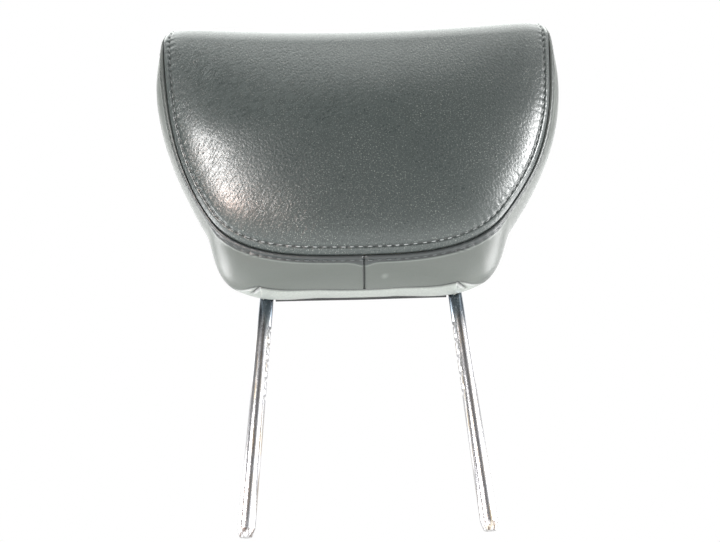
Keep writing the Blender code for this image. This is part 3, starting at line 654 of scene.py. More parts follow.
class Part:
    """Helpers that turn meshes into named pieces riding on the frame."""

    @staticmethod
    def mesh_object(name: str, mesh: bmesh.types.BMesh) -> bpy.types.Object:
        """Put a bmesh into the scene under a name, with its edges and faces in the same order in every run.

        Args:
            name: Name of the piece.
            mesh: Its shape, which is freed.

        Returns:
            The new object at the origin.
        """
        mesh.edges.sort(key=lambda edge: (edge.verts[0].co + edge.verts[1].co).dot(ORDER))
        mesh.faces.sort(key=lambda face: face.calc_center_median().dot(ORDER))
        data = bpy.data.meshes.new(name)
        mesh.to_mesh(data)
        mesh.free()
        piece = bpy.data.objects.new(name, data)
        bpy.context.scene.collection.objects.link(piece)
        return piece

    @staticmethod
    def places(piece: bpy.types.Object) -> Points:
        """Places of a piece's vertices."""
        flat = np.zeros(len(piece.data.vertices) * 3)
        piece.data.vertices.foreach_get("co", flat)
        return flat.reshape(-1, 3)

    @staticmethod
    def move(piece: bpy.types.Object, places: Points) -> None:
        """Set the places of a piece's vertices."""
        piece.data.vertices.foreach_set("co", places.astype(np.float32).ravel())
        piece.data.update()

    @staticmethod
    def write_uv(piece: bpy.types.Object, flat: Points) -> None:
        """Keep the flat pattern's places, in tenths of a metre, as the piece's UV map."""
        corners = np.zeros(len(piece.data.loops), dtype=np.int32)
        piece.data.loops.foreach_get("vertex_index", corners)
        layer = piece.data.uv_layers.new(name="pattern")
        layer.data.foreach_set("uv", (flat[corners] * 10).astype(np.float32).ravel())

    @staticmethod
    def write_value(piece: bpy.types.Object, name: str, values: Points) -> None:
        """Keep a number for each vertex as an attribute."""
        layer = piece.data.attributes.new(name, "FLOAT", "POINT")
        layer.data.foreach_set("value", values.astype(np.float32))

    @staticmethod
    def face_outward(piece: bpy.types.Object, centre: Vector) -> None:
        """Turn all faces of a sheet so that they point away from a centre."""
        mesh = bmesh.new()
        mesh.from_mesh(piece.data)
        mesh.normal_update()
        lean = sum(face.normal.dot(face.calc_center_median() - centre) * face.calc_area() for face in mesh.faces)
        if lean < 0:
            bmesh.ops.reverse_faces(mesh, faces=mesh.faces)
            mesh.to_mesh(piece.data)
        mesh.free()

    @staticmethod
    def finish(piece: bpy.types.Object, material: bpy.types.Material, slot: str,
               nodes: Sequence[str] = ()) -> bpy.types.Object:
        """Dress a piece and tie it to the frame.

        Args:
            piece: Object at the origin.
            material: Its finish.
            slot: Material slot of the record; not used.
            nodes: Nodes of the fixed frame that it stands for.

        Returns:
            The same piece.
        """
        piece.data.materials.clear()
        piece.data.materials.append(material)
        piece.data.shade_smooth()
        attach(piece, BODY)
        if nodes:
            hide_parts(*nodes)
        LOG.info("made %s with %d faces", piece.name, len(piece.data.polygons))
        return piece


class Wire:
    """A shader socket that takes part in sums, so that shader maths reads as plain expressions."""

    def __init__(self, board: Board, socket: bpy.types.NodeSocket) -> None:
        """Wrap a socket.

        Args:
            board: Material that the socket belongs to.
            socket: Output socket.
        """
        self.board = board
        self.socket = socket

    def _maths(self, operation: str, *values: Any) -> Wire:
        """Add a Math node on this socket's material."""
        return self.board.wire("ShaderNodeMath", {"operation": operation}, dict(enumerate(values)))

    @staticmethod
    def _operator(operation: str, reflected: bool = False) -> Callable[[Wire, Any], Wire]:
        """Python operator that adds a Math node; the reflected form has the number first."""
        def apply(wire: Wire, other: Any) -> Wire:
            """Add the node."""
            return wire._maths(operation, *((other, wire) if reflected else (wire, other)))
        return apply

    __add__, __radd__ = _operator("ADD"), _operator("ADD", True)
    __sub__, __rsub__ = _operator("SUBTRACT"), _operator("SUBTRACT", True)
    __mul__, __rmul__ = _operator("MULTIPLY"), _operator("MULTIPLY", True)

    def absolute(self) -> Wire:
        """Size without the sign."""
        return self._maths("ABSOLUTE", self)

    def larger(self, other: Any) -> Wire:
        """The larger of two numbers."""
        return self._maths("MAXIMUM", self, other)

    def above(self, low: float, high: float) -> Wire:
        """Smooth ramp from 0 at low to 1 at high."""
        return self.board.wire("ShaderNodeMapRange", {"interpolation_type": "SMOOTHSTEP"},
                               {"Value": self, "From Min": low, "From Max": high})

    def below(self, low: float, high: float) -> Wire:
        """Smooth ramp from 1 at low to 0 at high."""
        return 1 - self.above(low, high)


class Board:
    """The node tree of one material or world."""

    def __init__(self, owner: bpy.types.Material | bpy.types.World, shader: str) -> None:
        """Open the node tree.

        Args:
            owner: Material or world that the nodes belong to.
            shader: Name of the shader node that it starts with.
        """
        owner.use_nodes = True
        self.owner = owner
        self.tree = owner.node_tree
        self.shader = self.tree.nodes[shader]

    @classmethod
    def paint(cls, name: str) -> Board:
        """Start a material with a Principled shader."""
        return cls(bpy.data.materials.new(name), "Principled BSDF")

    def node(self, kind: str, settings: dict[str, Any] | None = None,
             sockets: dict[int | str, Any] | None = None) -> bpy.types.Node:
        """Make a node.

        Args:
            kind: Type of the node.
            settings: Properties set first, such as an operation.
            sockets: Values or wires for its inputs, by name or index.

        Returns:
            The new node.
        """
        made = self.tree.nodes.new(kind)
        for name, value in (settings or {}).items():
            setattr(made, name, value)
        self.feed(made, sockets or {})
        return made

    def feed(self, node: bpy.types.Node, sockets: dict[int | str, Any]) -> None:
        """Set or link a node's inputs.

        Args:
            node: Node to feed.
            sockets: Values or wires, by the input's name or index.
        """
        for key, value in sockets.items():
            target = node.inputs[key]
            if isinstance(value, Wire):
                self.tree.links.new(value.socket, target)
            else:
                target.default_value = value

    def wire(self, kind: str, settings: dict[str, Any] | None = None,
             sockets: dict[int | str, Any] | None = None, output: int | str = 0) -> Wire:
        """Make a node and wrap one of its outputs."""
        return Wire(self, self.node(kind, settings, sockets).outputs[output])

    def mix(self, share: Any, first: Any, second: Any) -> Wire:
        """Blend two colours."""
        return self.wire("ShaderNodeMix", {"data_type": "RGBA"}, {0: share, 6: first, 7: second}, 2)

    def noise(self, place: Wire, size: float, detail: float = 3.0, roughness: float = 0.5,
              warp: float = 0.0) -> Wire:
        """Cloudy noise whose patches have a size in the units of the place."""
        return self.wire("ShaderNodeTexNoise", None, {"Vector": place, "Scale": 1 / size, "Detail": detail,
                                                      "Roughness": roughness, "Distortion": warp})

    def cells(self, place: Wire, size: float, feature: str = "F1") -> Wire:
        """Distance pattern of scattered cells of a size."""
        return self.wire("ShaderNodeTexVoronoi", {"feature": feature}, {"Vector": place, "Scale": 1 / size})

    def vector(self, operation: str, *values: Any) -> Wire:
        """Add a Vector Math node."""
        return self.wire("ShaderNodeVectorMath", {"operation": operation}, dict(enumerate(values)))

    def place(self) -> Wire:
        """Places in the object's own space, in metres."""
        return self.wire("ShaderNodeTexCoord", output="Object")

    def axis(self, place: Wire, name: str) -> Wire:
        """One of the three numbers of a place, X, Y or Z."""
        return self.wire("ShaderNodeSeparateXYZ", None, {0: place}, name)

    def pattern(self) -> Wire:
        """Places on the panel's flat pattern, in tenths of a metre."""
        return self.wire("ShaderNodeUVMap", {"uv_map": "pattern"}, output="UV")

    def value(self, name: str) -> Wire:
        """A number kept on the mesh."""
        return self.wire("ShaderNodeAttribute", {"attribute_name": name}, output="Fac")

    def stretched(self, place: Wire, scale: tuple[float, float, float], turn: float = 0.0) -> Wire:
        """Places turned about the pattern's normal and then scaled."""
        return self.wire("ShaderNodeMapping", {"vector_type": "TEXTURE"},
                         {"Vector": place, "Scale": tuple(1 / share for share in scale),
                          "Rotation": (0.0, 0.0, turn)})

    def bump(self, height: Wire, distance: float, under: Wire | None = None) -> Wire:
        """Turn heights from 0 to 1 into a bumped normal, on top of another where there is one."""
        sockets: dict[int | str, Any] = {"Height": height, "Distance": distance}
        if under is not None:
            sockets["Normal"] = under
        return self.wire("ShaderNodeBump", None, sockets)

    def surface(self, **sockets: Any) -> bpy.types.Material | bpy.types.World:
        """Feed the shader; an underscore in a name stands for a space."""
        self.feed(self.shader, {name.replace("_", " "): value for name, value in sockets.items()})
        return self.owner


Colour = tuple[float, float, float]


def rgba(colour: Colour, level: float = 1.0) -> tuple[float, float, float, float]:
    """A colour made lighter or darker by a factor, with full opacity."""
    return (*(part * level for part in colour), 1.0)


@dataclass(frozen=True)
class GrainedLeather:
    """Dark leather with a pebbled grain, stretch creases near the seams and small pale flecks that are partly wear and
    partly painted glints.
    """

    name: str = "grained_leather"
    colour: Colour = (0.036, 0.044, 0.043)
    lit: Colour = (0.078, 0.092, 0.089)
    wear_and_glint: Colour = (0.42, 0.44, 0.40)
    groove_shade: float = 0.30
    pebble: float = 0.017
    pebble_depth: float = 0.095 * MM
    pebble_turn: float = 0.35
    crease: float = 0.026
    crease_depth: float = 0.07 * MM
    crease_turn: float = -0.5
    crease_zone: tuple[float, float] = (0.020, 0.075)
    ripple_narrowing: float = 0.22
    ripple_turn: float = -0.95
    top_fade: tuple[float, float] = (1.55, 1.85)
    stretched_heights: tuple[float, float] = (0.70, 1.15)
    stretched_sides: tuple[float, float] = (-0.7, 0.9)
    least_stretch: float = 0.2
    fleck: float = 0.010
    fleck_share: float = 0.8
    cloud: float = 0.45
    patch: float = 1.6
    crevice_share: float = 0.75
    roughness: float = 0.24

    def build(self) -> bpy.types.Material:
        """Make the material."""
        b = Board.paint(self.name)
        flat = b.pattern()
        drift = b.wire("ShaderNodeTexNoise", None, {"Vector": flat, "Scale": 45.0, "Detail": 2.0}, "Color")
        warped = b.vector("MULTIPLY_ADD", drift, (0.006, 0.006, 0.0), flat)
        turned = b.stretched(warped, (1.0, 0.8, 1.0), self.pebble_turn)
        pebbles = b.noise(turned, self.pebble, 1.0, 0.4).above(0.30, 0.62)
        fine = b.noise(warped, self.pebble * 0.45, 2.0, 0.6)
        clouds = b.noise(flat, self.cloud, 4.0, 0.55)
        patches = b.noise(flat, self.patch)
        folds = b.noise(b.stretched(warped, (1.0, 0.16, 1.0), self.crease_turn), self.crease, 2.0, 0.5, 0.4)
        near_seam = b.value("seam_distance").below(*self.crease_zone) * patches.above(0.42, 0.62)
        creases = (folds - 0.5).absolute().below(0.0, 0.03) * near_seam
        height, sideways = b.axis(flat, "Y"), b.axis(flat, "X")
        upright = height.below(*self.top_fade)
        pulled = height.above(*self.stretched_heights) * sideways.below(*self.stretched_sides)
        stretch = pulled * (1 - self.least_stretch) + self.least_stretch
        narrow = b.stretched(warped, (1.0, self.ripple_narrowing, 1.0), self.ripple_turn)
        ripples = b.noise(narrow, self.pebble, 2.0, 0.5)
        relief = pebbles * 0.5 + fine * 0.25 + ripples * stretch * 0.6
        grain = b.bump(relief * (0.12 + upright * 0.88), self.pebble_depth)
        normal = b.bump(1 - creases, self.crease_depth, grain)
        # The pale flecks are partly wear and partly painted glints of the grain.
        specks = b.noise(flat, self.fleck, 3.0, 0.75).above(0.565, 0.66)
        flecks = specks * (0.45 + clouds.above(0.34, 0.60) * patches.above(0.20, 0.60) * 0.55)
        base = b.mix(flecks * self.fleck_share, rgba(self.colour), rgba(self.wear_and_glint))
        mottle = fine.above(0.30, 0.70) * 0.35 + ripples.above(0.38, 0.62) * stretch * 0.55
        grained = b.mix(mottle, base, rgba(self.lit))
        # Painted shade darkens the leather in the seam's groove and along the stitch rows.
        surface = b.mix(b.value("crevice") * self.crevice_share, grained, rgba(self.colour, self.groove_shade))
        rough = self.roughness + clouds * 0.08 + (1 - pebbles) * 0.06
        return b.surface(Base_Color=surface, Roughness=rough, Normal=normal)


@dataclass(frozen=True)
class SmoothLeather:
    """Smooth leather of the sides, the chin and the flaps, painted paler than the face as sheen, with painted shade on
    the band stitched down at the front seam, a painted highlight along its folded edge and a paler underside painted as
    lit from below.
    """

    name: str = "smooth_leather"
    # Painted paler than the grained face, a painted sheen of the same dark leather.
    colour: Colour = (0.097, 0.107, 0.098)
    contrast: float = 0.86
    pebble: float = 0.008
    pebble_depth: float = 0.05 * MM
    grain: float = 0.006
    cloud: float = 0.35
    roughness: float = 0.34
    # Painted shade on the band stitched down beside the front seam.
    sewn: Colour = (0.036, 0.042, 0.043)
    # Painted highlight along the folded edge of the stitched-down band.
    rim: Colour = (0.20, 0.22, 0.20)
    rim_share: float = 0.6
    # Colour and strength of the painted shade in the grooves, folds and stitch row.
    groove_shade: Colour = (0.022, 0.025, 0.025)
    crevice_share: float = 0.85
    # The underside colour is painted pale, as lit from below.
    underside: Colour = (0.33, 0.35, 0.33)
    underside_contrast: float = 0.72
    scuff_place: tuple[float, float, float] = (0.0161, -0.0360, -0.0070)
    scuff_shape: tuple[float, float, float] = (0.5, 0.6, 1.0)
    scuff_turn: float = -0.9
    scuff_size: float = 2.0 * MM

    def build(self) -> bpy.types.Material:
        """Make the material."""
        b = Board.paint(self.name)
        flat = b.pattern()
        edge = b.cells(flat, self.pebble, "DISTANCE_TO_EDGE").above(0.0, 0.3)
        coarse = b.cells(flat, self.pebble * 2.5, "DISTANCE_TO_EDGE").above(0.0, 0.3)
        fine = b.noise(flat, self.grain, 2.0, 0.6)
        clouds = b.noise(flat, self.cloud, 4.0, 0.55)
        mottle = clouds.above(0.35, 0.7) * 0.35 + edge * 0.40 + fine * 0.25
        plain = b.mix(mottle, rgba(self.colour, self.contrast), rgba(self.colour))
        # The chin and flaps are painted paler, as lit from below, with a mottle of grain in it.
        grey = rgba(self.underside, self.underside_contrast)
        pale = b.mix(coarse * 0.5 + fine * 0.3 + clouds * 0.2, grey, rgba(self.underside))
        leather = b.mix(b.value("underside"), plain, pale)
        offset = b.stretched(b.vector("SUBTRACT", b.place(), self.scuff_place), self.scuff_shape, self.scuff_turn)
        gap = b.wire("ShaderNodeVectorMath", {"operation": "LENGTH"}, {0: offset}, "Value")
        rubbed = b.mix(gap.below(0.0, self.scuff_size) * (fine * 0.5), leather, rgba(self.underside))
        # Painted shade on the band stitched down beside the front seam.
        sewn = b.mix(b.value("sewn"), rubbed, rgba(self.sewn))
        # Painted highlight along the folded edge of the stitched-down band.
        rimmed = b.mix(b.value("rim") * self.rim_share, sewn, rgba(self.rim))
        # Painted shade darkens the leather in the seams' grooves, the folds and the stitch row.
        base = b.mix(b.value("crevice") * self.crevice_share, rimmed, rgba(self.groove_shade))
        return b.surface(Base_Color=base, Roughness=self.roughness + clouds * 0.1,
                         Normal=b.bump(edge * 0.6 + fine * 0.4, self.pebble_depth))


@dataclass(frozen=True)
class Chrome:
    """Bright plated steel with fine lengthwise rubbing marks, warm streaks that are partly wear and partly painted
    reflection, and a painted dark reflection of the leather near the top.
    """

    name: str = "post_chrome"
    colour: Colour = (0.60, 0.60, 0.62)
    warm: Colour = (0.42, 0.34, 0.23)
    # Colour and heights of the dark reflection of the leather, painted on the posts' upper part.
    dark_reflection: Colour = (0.095, 0.115, 0.135)
    rubbed: Colour = (0.075, 0.048, 0.036)
    streak: float = 1.6 * MM
    mark: float = 0.7 * MM
    mark_depth: float = 0.006 * MM
    speck: float = 2.2 * MM
    stripe: float = 1.1 * MM
    cloud: float = 20.0 * MM
    dark_reflection_heights: tuple[float, float] = (-0.040, -0.012)
    tip_edge: float = -0.1535
    tip_softness: float = 0.2 * MM
    roughness: float = 0.23

    def build(self) -> bpy.types.Material:
        """Make the material."""
        b = Board.paint(self.name)
        place = b.place()
        streaks = b.noise(b.stretched(place, (1.0, 1.0, 0.035)), self.streak, 3.0, 0.6)
        marks = b.noise(b.stretched(place, (1.0, 1.0, 0.10)), self.mark, 2.0, 0.6)
        clouds = b.noise(place, self.cloud)
        # Warm streaks, partly wear and partly a painted reflection.
        warm = streaks.above(0.46, 0.66) * clouds.above(0.34, 0.60) * 0.9
        bright = b.mix(warm, rgba(self.colour), rgba(self.warm))
        # Near the head the posts are painted with a dark reflection of the leather above, broken by pale specks.
        height = b.axis(place, "Z")
        dark_reflection_share = height.above(*self.dark_reflection_heights)
        specks = b.cells(place, self.speck).below(0.08, 0.20)
        base = b.mix(dark_reflection_share * (1 - specks * 0.5), bright, rgba(self.dark_reflection))
        stripes = b.noise(b.stretched(place, (1.0, 1.0, 0.02)), self.stripe, 2.0, 0.6).above(0.44, 0.56)
        tip = height.below(self.tip_edge - self.tip_softness, self.tip_edge + self.tip_softness) * stripes
        finished = b.mix(tip * 0.85, base, rgba(self.rubbed))
        rough = self.roughness + marks.above(0.5, 0.75) * 0.06 + warm * 0.06
        return b.surface(Base_Color=finished, Metallic=1.0, Roughness=rough, Normal=b.bump(marks, self.mark_depth))


@dataclass(frozen=True)
class Moulded:
    """Moulded or extruded plastic with a fine texture."""

    name: str
    colour: Colour
    grain: float = 0.0009
    roughness: float = 0.5
    grain_depth: float = 0.03 * MM
    cloud: float = 30.0 * MM
    paler: float = 1.35

    def build(self) -> bpy.types.Material:
        """Make the material."""
        b = Board.paint(self.name)
        place = b.place()
        fine = b.noise(place, self.grain, 3.0, 0.6)
        clouds = b.noise(place, self.cloud)
        base = b.mix(clouds.above(0.35, 0.7), rgba(self.colour), rgba(self.colour, self.paler))
        return b.surface(Base_Color=base, Roughness=self.roughness + fine * 0.12 - 0.06,
                         Normal=b.bump(fine, self.grain_depth))


@dataclass(frozen=True)
class PlatedSteel:
    """Zinc-plated steel of the screws."""

    name: str = "screw_steel"
    colour: Colour = (0.47, 0.45, 0.38)
    darker: float = 0.7
    grain: float = 0.6 * MM
    grain_depth: float = 0.01 * MM
    roughness: float = 0.3

    def build(self) -> bpy.types.Material:
        """Make the material."""
        b = Board.paint(self.name)
        fine = b.noise(b.place(), self.grain, 3.0, 0.6)
        base = b.mix(fine, rgba(self.colour), rgba(self.colour, self.darker))
        return b.surface(Base_Color=base, Metallic=1.0, Roughness=self.roughness + fine * 0.15,
                         Normal=b.bump(fine, self.grain_depth))


@dataclass(frozen=True)
class Foam:
    """Moulded foam with open pores."""

    name: str = "moulded_foam"
    colour: Colour = (0.62, 0.58, 0.42)
    darker: float = 0.6
    pore: float = 1.2 * MM
    pore_depth: float = 0.2 * MM
    cloud: float = 20.0 * MM
    roughness: float = 0.9

    def build(self) -> bpy.types.Material:
        """Make the material."""
        b = Board.paint(self.name)
        place = b.place()
        pores = b.cells(place, self.pore).above(0.1, 0.45)
        clouds = b.noise(place, self.cloud, 4.0, 0.6)
        # The pores are painted darker, painted shade in the holes.
        base = b.mix(pores * 0.7 + clouds * 0.3, rgba(self.colour, self.darker), rgba(self.colour))
        return b.surface(Base_Color=base, Roughness=self.roughness, Normal=b.bump(pores, self.pore_depth))


@dataclass(frozen=True)
class Thread:
    """Dark bonded sewing thread with a slight shine, painted paler low down as lit from below."""

    name: str
    colour: Colour
    # How much paler the thread is painted low down, as lit from below, and between which heights.
    lit_below: float = 3.2
    lit_heights: tuple[float, float] = (0.004, 0.030)
    fibre: float = 0.25 * MM
    fibre_depth: float = 0.03 * MM
    roughness: float = 0.35

    def build(self) -> bpy.types.Material:
        """Make the material."""
        b = Board.paint(self.name)
        place = b.place()
        fibres = b.noise(place, self.fibre, 2.0, 0.6)
        # Low down the thread is painted paler, as lit from below.
        lower = b.axis(place, "Z").below(*self.lit_heights)
        base = b.mix(fibres * 0.4 + lower * 0.6, rgba(self.colour), rgba(self.colour, self.lit_below))
        return b.surface(Base_Color=base, Roughness=self.roughness, Normal=b.bump(fibres, self.fibre_depth))


class Side(Enum):
    """Which half of the head a piece belongs to, by the sign of its x."""

    LEFT = -1
    RIGHT = 1


@dataclass(frozen=True)
class ClothTrial:
    """Cloth simulation of a coarse panel that is held at its seams and pressed outward by the foam."""

    cell: float = 5.5 * MM
    frames: int = 36
    pressure: float = 1.6
    slack: float = 0.008
    unevenness: float = 0.12 * MM
    cap: float = 16.0 * MM
    share: float = 0.12
    reach: float = 8.0 * MM
    fade_start: float = 0.08
    fade_end: float = 0.14
    neighbours: int = 14
    quality: int = 6
    mass: float = 0.3
    damping: float = 4.0
    stretch_stiffness: float = 25.0
    shear_stiffness: float = 12.0
    bending_stiffness: float = 2.0
    seed: int = 11

    def swell(self, cut: NetCut, surface: Surface, outward: Callable[[Points], Points]) -> tuple[Points, Points]:
        """Blow a panel up.

        Args:
            cut: Coarse flat cut of the panel.
            surface: Lifts flat places onto the head.
            outward: Gives the outward normals at flat places.

        Returns:
            Flat places of the coarse panel and how far each one stands out at the end.
        """
        piece = Part.mesh_object("cloth_trial", cut.build())
        flat = Part.places(piece)[:, :2]
        base, normal = surface(flat[:, 0], flat[:, 1]), outward(flat)
        rough = np.random.default_rng(self.seed).normal(0.0, self.unevenness, len(base))
        Part.move(piece, base + normal * rough[:, None])
        Part.face_outward(piece, HEAD_CENTRE)
        self._hold_edges(piece)
        self._add_cloth(piece)
        scene = bpy.context.scene
        for frame in range(1, self.frames + 1):
            scene.frame_set(frame)
        settled = piece.evaluated_get(bpy.context.evaluated_depsgraph_get()).data
        places = np.zeros(len(base) * 3)
        settled.vertices.foreach_get("co", places)
        heights = ((places.reshape(-1, 3) - base) * normal).sum(axis=1)
        bpy.data.objects.remove(piece)
        scene.frame_set(1)
        LOG.info("cloth stands out by up to %.1f mm", heights.max() / MM)
        return flat, np.clip(heights, 0.0, self.cap)

    @staticmethod
    def _hold_edges(piece: bpy.types.Object) -> None:
        """Pin the sewn edges."""
        mesh = bmesh.new()
        mesh.from_mesh(piece.data)
        sewn = [vert.index for vert in mesh.verts if vert.is_boundary]
        mesh.free()
        piece.vertex_groups.new(name="sewn").add(sewn, 1.0, "REPLACE")

    def _add_cloth(self, piece: bpy.types.Object) -> None:
        """Set up leather that is a little larger than its frame and pressed from inside."""
        cloth = piece.modifiers.new("cloth", "CLOTH")
        leather = cloth.settings
        leather.quality = self.quality
        leather.mass = self.mass
        leather.air_damping = self.damping
        leather.tension_stiffness = leather.compression_stiffness = self.stretch_stiffness
        leather.shear_stiffness = self.shear_stiffness
        leather.bending_stiffness = self.bending_stiffness
        leather.vertex_group_mass = "sewn"
        leather.use_pressure = True
        leather.uniform_pressure_force = self.pressure
        leather.shrink_min = -self.slack
        leather.effector_weights.gravity = 0.0
        cloth.collision_settings.use_collision = False

    def blend(self, plain: Points, flat: Points, trial: tuple[Points, Points]) -> Points:
        """Mix a panel's plain swell with the simulated one.

        Args:
            plain: Plain swell at the fine panel's places.
            flat: Those places on the pattern.
            trial: Result of the simulation.

        Returns:
            Swell at each place, as full on average as the plain one.
        """
        places, heights = trial
        tree = point_tree(np.pad(places, ((0, 0), (0, 1))))
        simulated = np.zeros(len(flat))
        for index, place in enumerate(flat):
            found = tree.find_n((*place, 0.0), self.neighbours)
            weights = np.array([math.exp(-((gap / self.reach) ** 2)) for _, _, gap in found]) + 1e-9
            simulated[index] = (weights * heights[[other for _, other, _ in found]]).sum() / weights.sum()
        fullness = plain.mean() / max(simulated.mean(), 1e-6)
        share = self.share * (1 - smooth_share(flat[:, 1], self.fade_start, self.fade_end))
        return plain * (1 - share) + simulated * fullness * share


@dataclass(frozen=True)
class PanelPlan:
    """What sets the front and the back panel apart."""

    name: str
    profile: Track
    outline: Track
    corner: float
    surface: Surface
    normal: Callable[[Points], Points]
    line: SeamLine
    look: SeamLook
    depths: tuple[float, ...]
    over_top: bool = False
    grained: bool = False


@dataclass
class Cover:
    """The sewn leather cover: its panels, flaps and stitches."""

    form: HeadForm
    trial: ClothTrial = ClothTrial()
    cell: float = 1.25 * MM
    thickness: float = 1.2 * MM
    # The dark_ sizes of each look set the painted shade along its groove and its stitch row.
    face_look: SeamLook = SeamLook(row=5.2 * MM, seed=3, dark_share=0.3)
    side_look: SeamLook = SeamLook(row=3.5 * MM, seed=4, crease=0.0, pillow=0.15 * MM, fold_edge=5.0 * MM,
                                   thread=0.38 * MM, dark_share=0.3)
    plain_look: SeamLook = SeamLook(groove_depth=1.8 * MM, groove_width=1.3 * MM)
    fine_look: SeamLook = SeamLook(groove_depth=1.1 * MM, groove_width=0.8 * MM)
    flap_look: SeamLook = SeamLook(groove_depth=0.9 * MM, groove_width=0.7 * MM, dark_width=1.15 * MM)
    fold_look: SeamLook = SeamLook(groove_depth=1.0 * MM, groove_width=0.7 * MM, taper=9.0 * MM)
    pocket_look: SeamLook = SeamLook(groove_depth=1.9 * MM, groove_width=1.1 * MM, dark_width=1.7 * MM,
                                     taper=4.5 * MM)
    pocket_reach: tuple[float, float] = (-0.002, 0.022)
    pocket_slope: float = 8.0
    sway_heights: tuple[float, ...] = (0.0, 0.03, 0.06, 0.10, 0.15, 0.20)
    sway_shifts: tuple[float, ...] = (-1.6 * MM, -0.8 * MM, 0.6 * MM, 1.0 * MM, 1.3 * MM, 1.6 * MM)
    right_fullness: float = 0.022
    fullest_height: float = 0.085
    fullness_reach: float = 0.05
    chin_height: float = 0.03
    chin_seam_shift: float = 3.9 * MM
    chin_seam_reach: float = 26.0 * MM
    # Painted shade of the stitched-down band: how it widens at the chin's middle and fades out higher up.
    allowance_dip: float = 2.3 * MM
    allowance_reach: float = 6.0 * MM
    allowance_fade: float = 0.8
    allowance_fade_end: float = 0.10
    near_top: float = 0.985
    near_seam: float = 0.03
    near_middle: float = 0.004
    # Where the underside is painted paler, as lit from below.
    underside_fade: tuple[float, float] = (-0.02, 0.05)
    underside_end: float = 0.9
    underside_edge: float = 0.6 * MM
    # Edge of the painted shade band, and the painted highlight along it.
    sewn_edge: tuple[float, float] = (-0.2 * MM, 0.4 * MM)
    rim_place: float = 0.45 * MM
    rim_width: float = 0.35 * MM
    seam_steps: tuple[float, float] = (0.25, 0.8)
    flap_steps: tuple[float, ...] = (0.35, 0.8, 1.4, 2.2, 3.2)
    fold_cell: float = 0.7 * MM
    chin_cell: float = 0.9 * MM
    chin_rows: tuple[float, float] = (0.25, 0.66)
    flap_cell: float = 1.2 * MM
    side_cell: float = 2.0 * MM
    hole_height: float = 0.02
    hole_reach: float = 1.35
    stitch_lift: float = 0.35
    stitch_share: float = 0.27
    trial_depths: tuple[float, ...] = (0.12, 5.0)
    back_depths: tuple[float, ...] = (0.12, 0.5, 1.0, 1.6, 2.3, 3.2, 4.3, 5.6, 7.2, 9.0, 11.0, 13.5)
    front_depths: tuple[float, ...] = (0.12, 0.4, 0.8, 1.25, 1.75, 2.3, 2.9, 3.5, 4.0, 4.5, 4.9, 5.3, 5.7, 6.2, 6.8,
                                       7.6, 8.6, 9.8, 11.2, 12.8, 14.6, 16.6, 18.8)
    grid_steps: tuple[float, ...] = (0.35, 0.75, 1.2, 1.7, 2.3, 2.9, 3.4, 3.8, 4.2, 4.6, 5.1, 5.5, 5.75, 6.0, 6.3,
                                     7.0, 8.2)

    def __post_init__(self) -> None:
        """Lay out the seams that the panels share."""
        self.front_line = self._front_line()
        self.rear_line = self._rear_line()
        self.top_rear_line = self._top_rear_line()
        self.centre_line = self._centre_line()
        self.flap_line = self._flap_line()
        end = self.form.flap_end
        self.fold_line = self._fold_line(end, end + self.form.sizes.fold_length, self.form.flap_level)
        first, last = self.pocket_reach
        self.pocket_line = self._fold_line(end + first, end + last, self._pocket_level)
        self.trees: dict[str, BVHTree] = {}

    def _pocket_level(self, t: Points) -> Points:
        """Share across the side of the short pocket fold that leaves the flap's end."""
        end = self.form.flap_end
        return self.form.flap_level(np.full_like(t, end)) + self.pocket_slope * (t - end)

    def _front_normal(self, flat: Points) -> Points:
        """Outward normals of the front at flat places."""
        return normals(self.form.front_surface, flat[:, 0], flat[:, 1], MM, MM)

    def _back_normal(self, flat: Points) -> Points:
        """Outward normals of the back at flat places."""
        return -normals(self.form.back_surface, flat[:, 0], flat[:, 1], MM, MM)

    def _side_normal(self, t: Points, s: Points) -> Points:
        """Outward normals of the right-hand side."""
        return -normals(self.form.side_surface, t, s, 0.003, 0.006)

    @staticmethod
    def _both_halves(points: Points, first: Points, second: Points) -> SeamLine:
        """A seam line with its mirror image, from the left end to the right end."""
        mirror = np.array((-1.0, 1.0, 1.0))
        return SeamLine(*(np.concatenate((values[:0:-1] * mirror, values)) for values in (points, first, second)))

    def _front_line(self) -> SeamLine:
        """The double-stitched seam round the face and back over the top."""
        form = self.form
        t = np.linspace(0.0, 1.0, 1100)
        s = np.linspace(0.0, 1.0, 280)[1:]
        flat = np.concatenate((form.front_outline.at(t * form.front_outline.length), form.top_seam_flat(s)))
        points = form.front_surface(flat[:, 0], flat[:, 1])
        side_t = np.concatenate((np.minimum(t, self.near_top), np.full_like(s, self.near_top)))
        side_s = np.concatenate((np.full_like(t, self.near_seam), np.maximum(s, self.near_seam)))
        return self._both_halves(points, self._front_normal(flat), self._side_normal(side_t, side_s))

    def _rear_line(self) -> SeamLine:
        """The seam between the back and the sides."""
        form = self.form
        t = np.linspace(0.0, 1.0, 1000)
        flat = form.back_outline.at(t * form.back_outline.length)
        points = form.back_surface(flat[:, 0], flat[:, 1])
        return self._both_halves(points, self._back_normal(flat),
                                 self._side_normal(np.minimum(t, self.near_top),
                                                   np.full_like(t, 1 - self.near_seam)))

    def _top_rear_line(self) -> SeamLine:
        """The seam between the front panel and the back, across the top."""
        form = self.form
        x = np.linspace(0.0, form.sizes.rear_half_width, 600)
        front = np.stack([x, np.full_like(x, form.front.length)], axis=-1)
        back = np.stack([x, np.full_like(x, form.back.length)], axis=-1)
        inside = np.array((0.0, MM))
        return self._both_halves(form.front_surface(x, front[:, 1]), self._front_normal(front - inside),
                                 self._back_normal(back - inside))

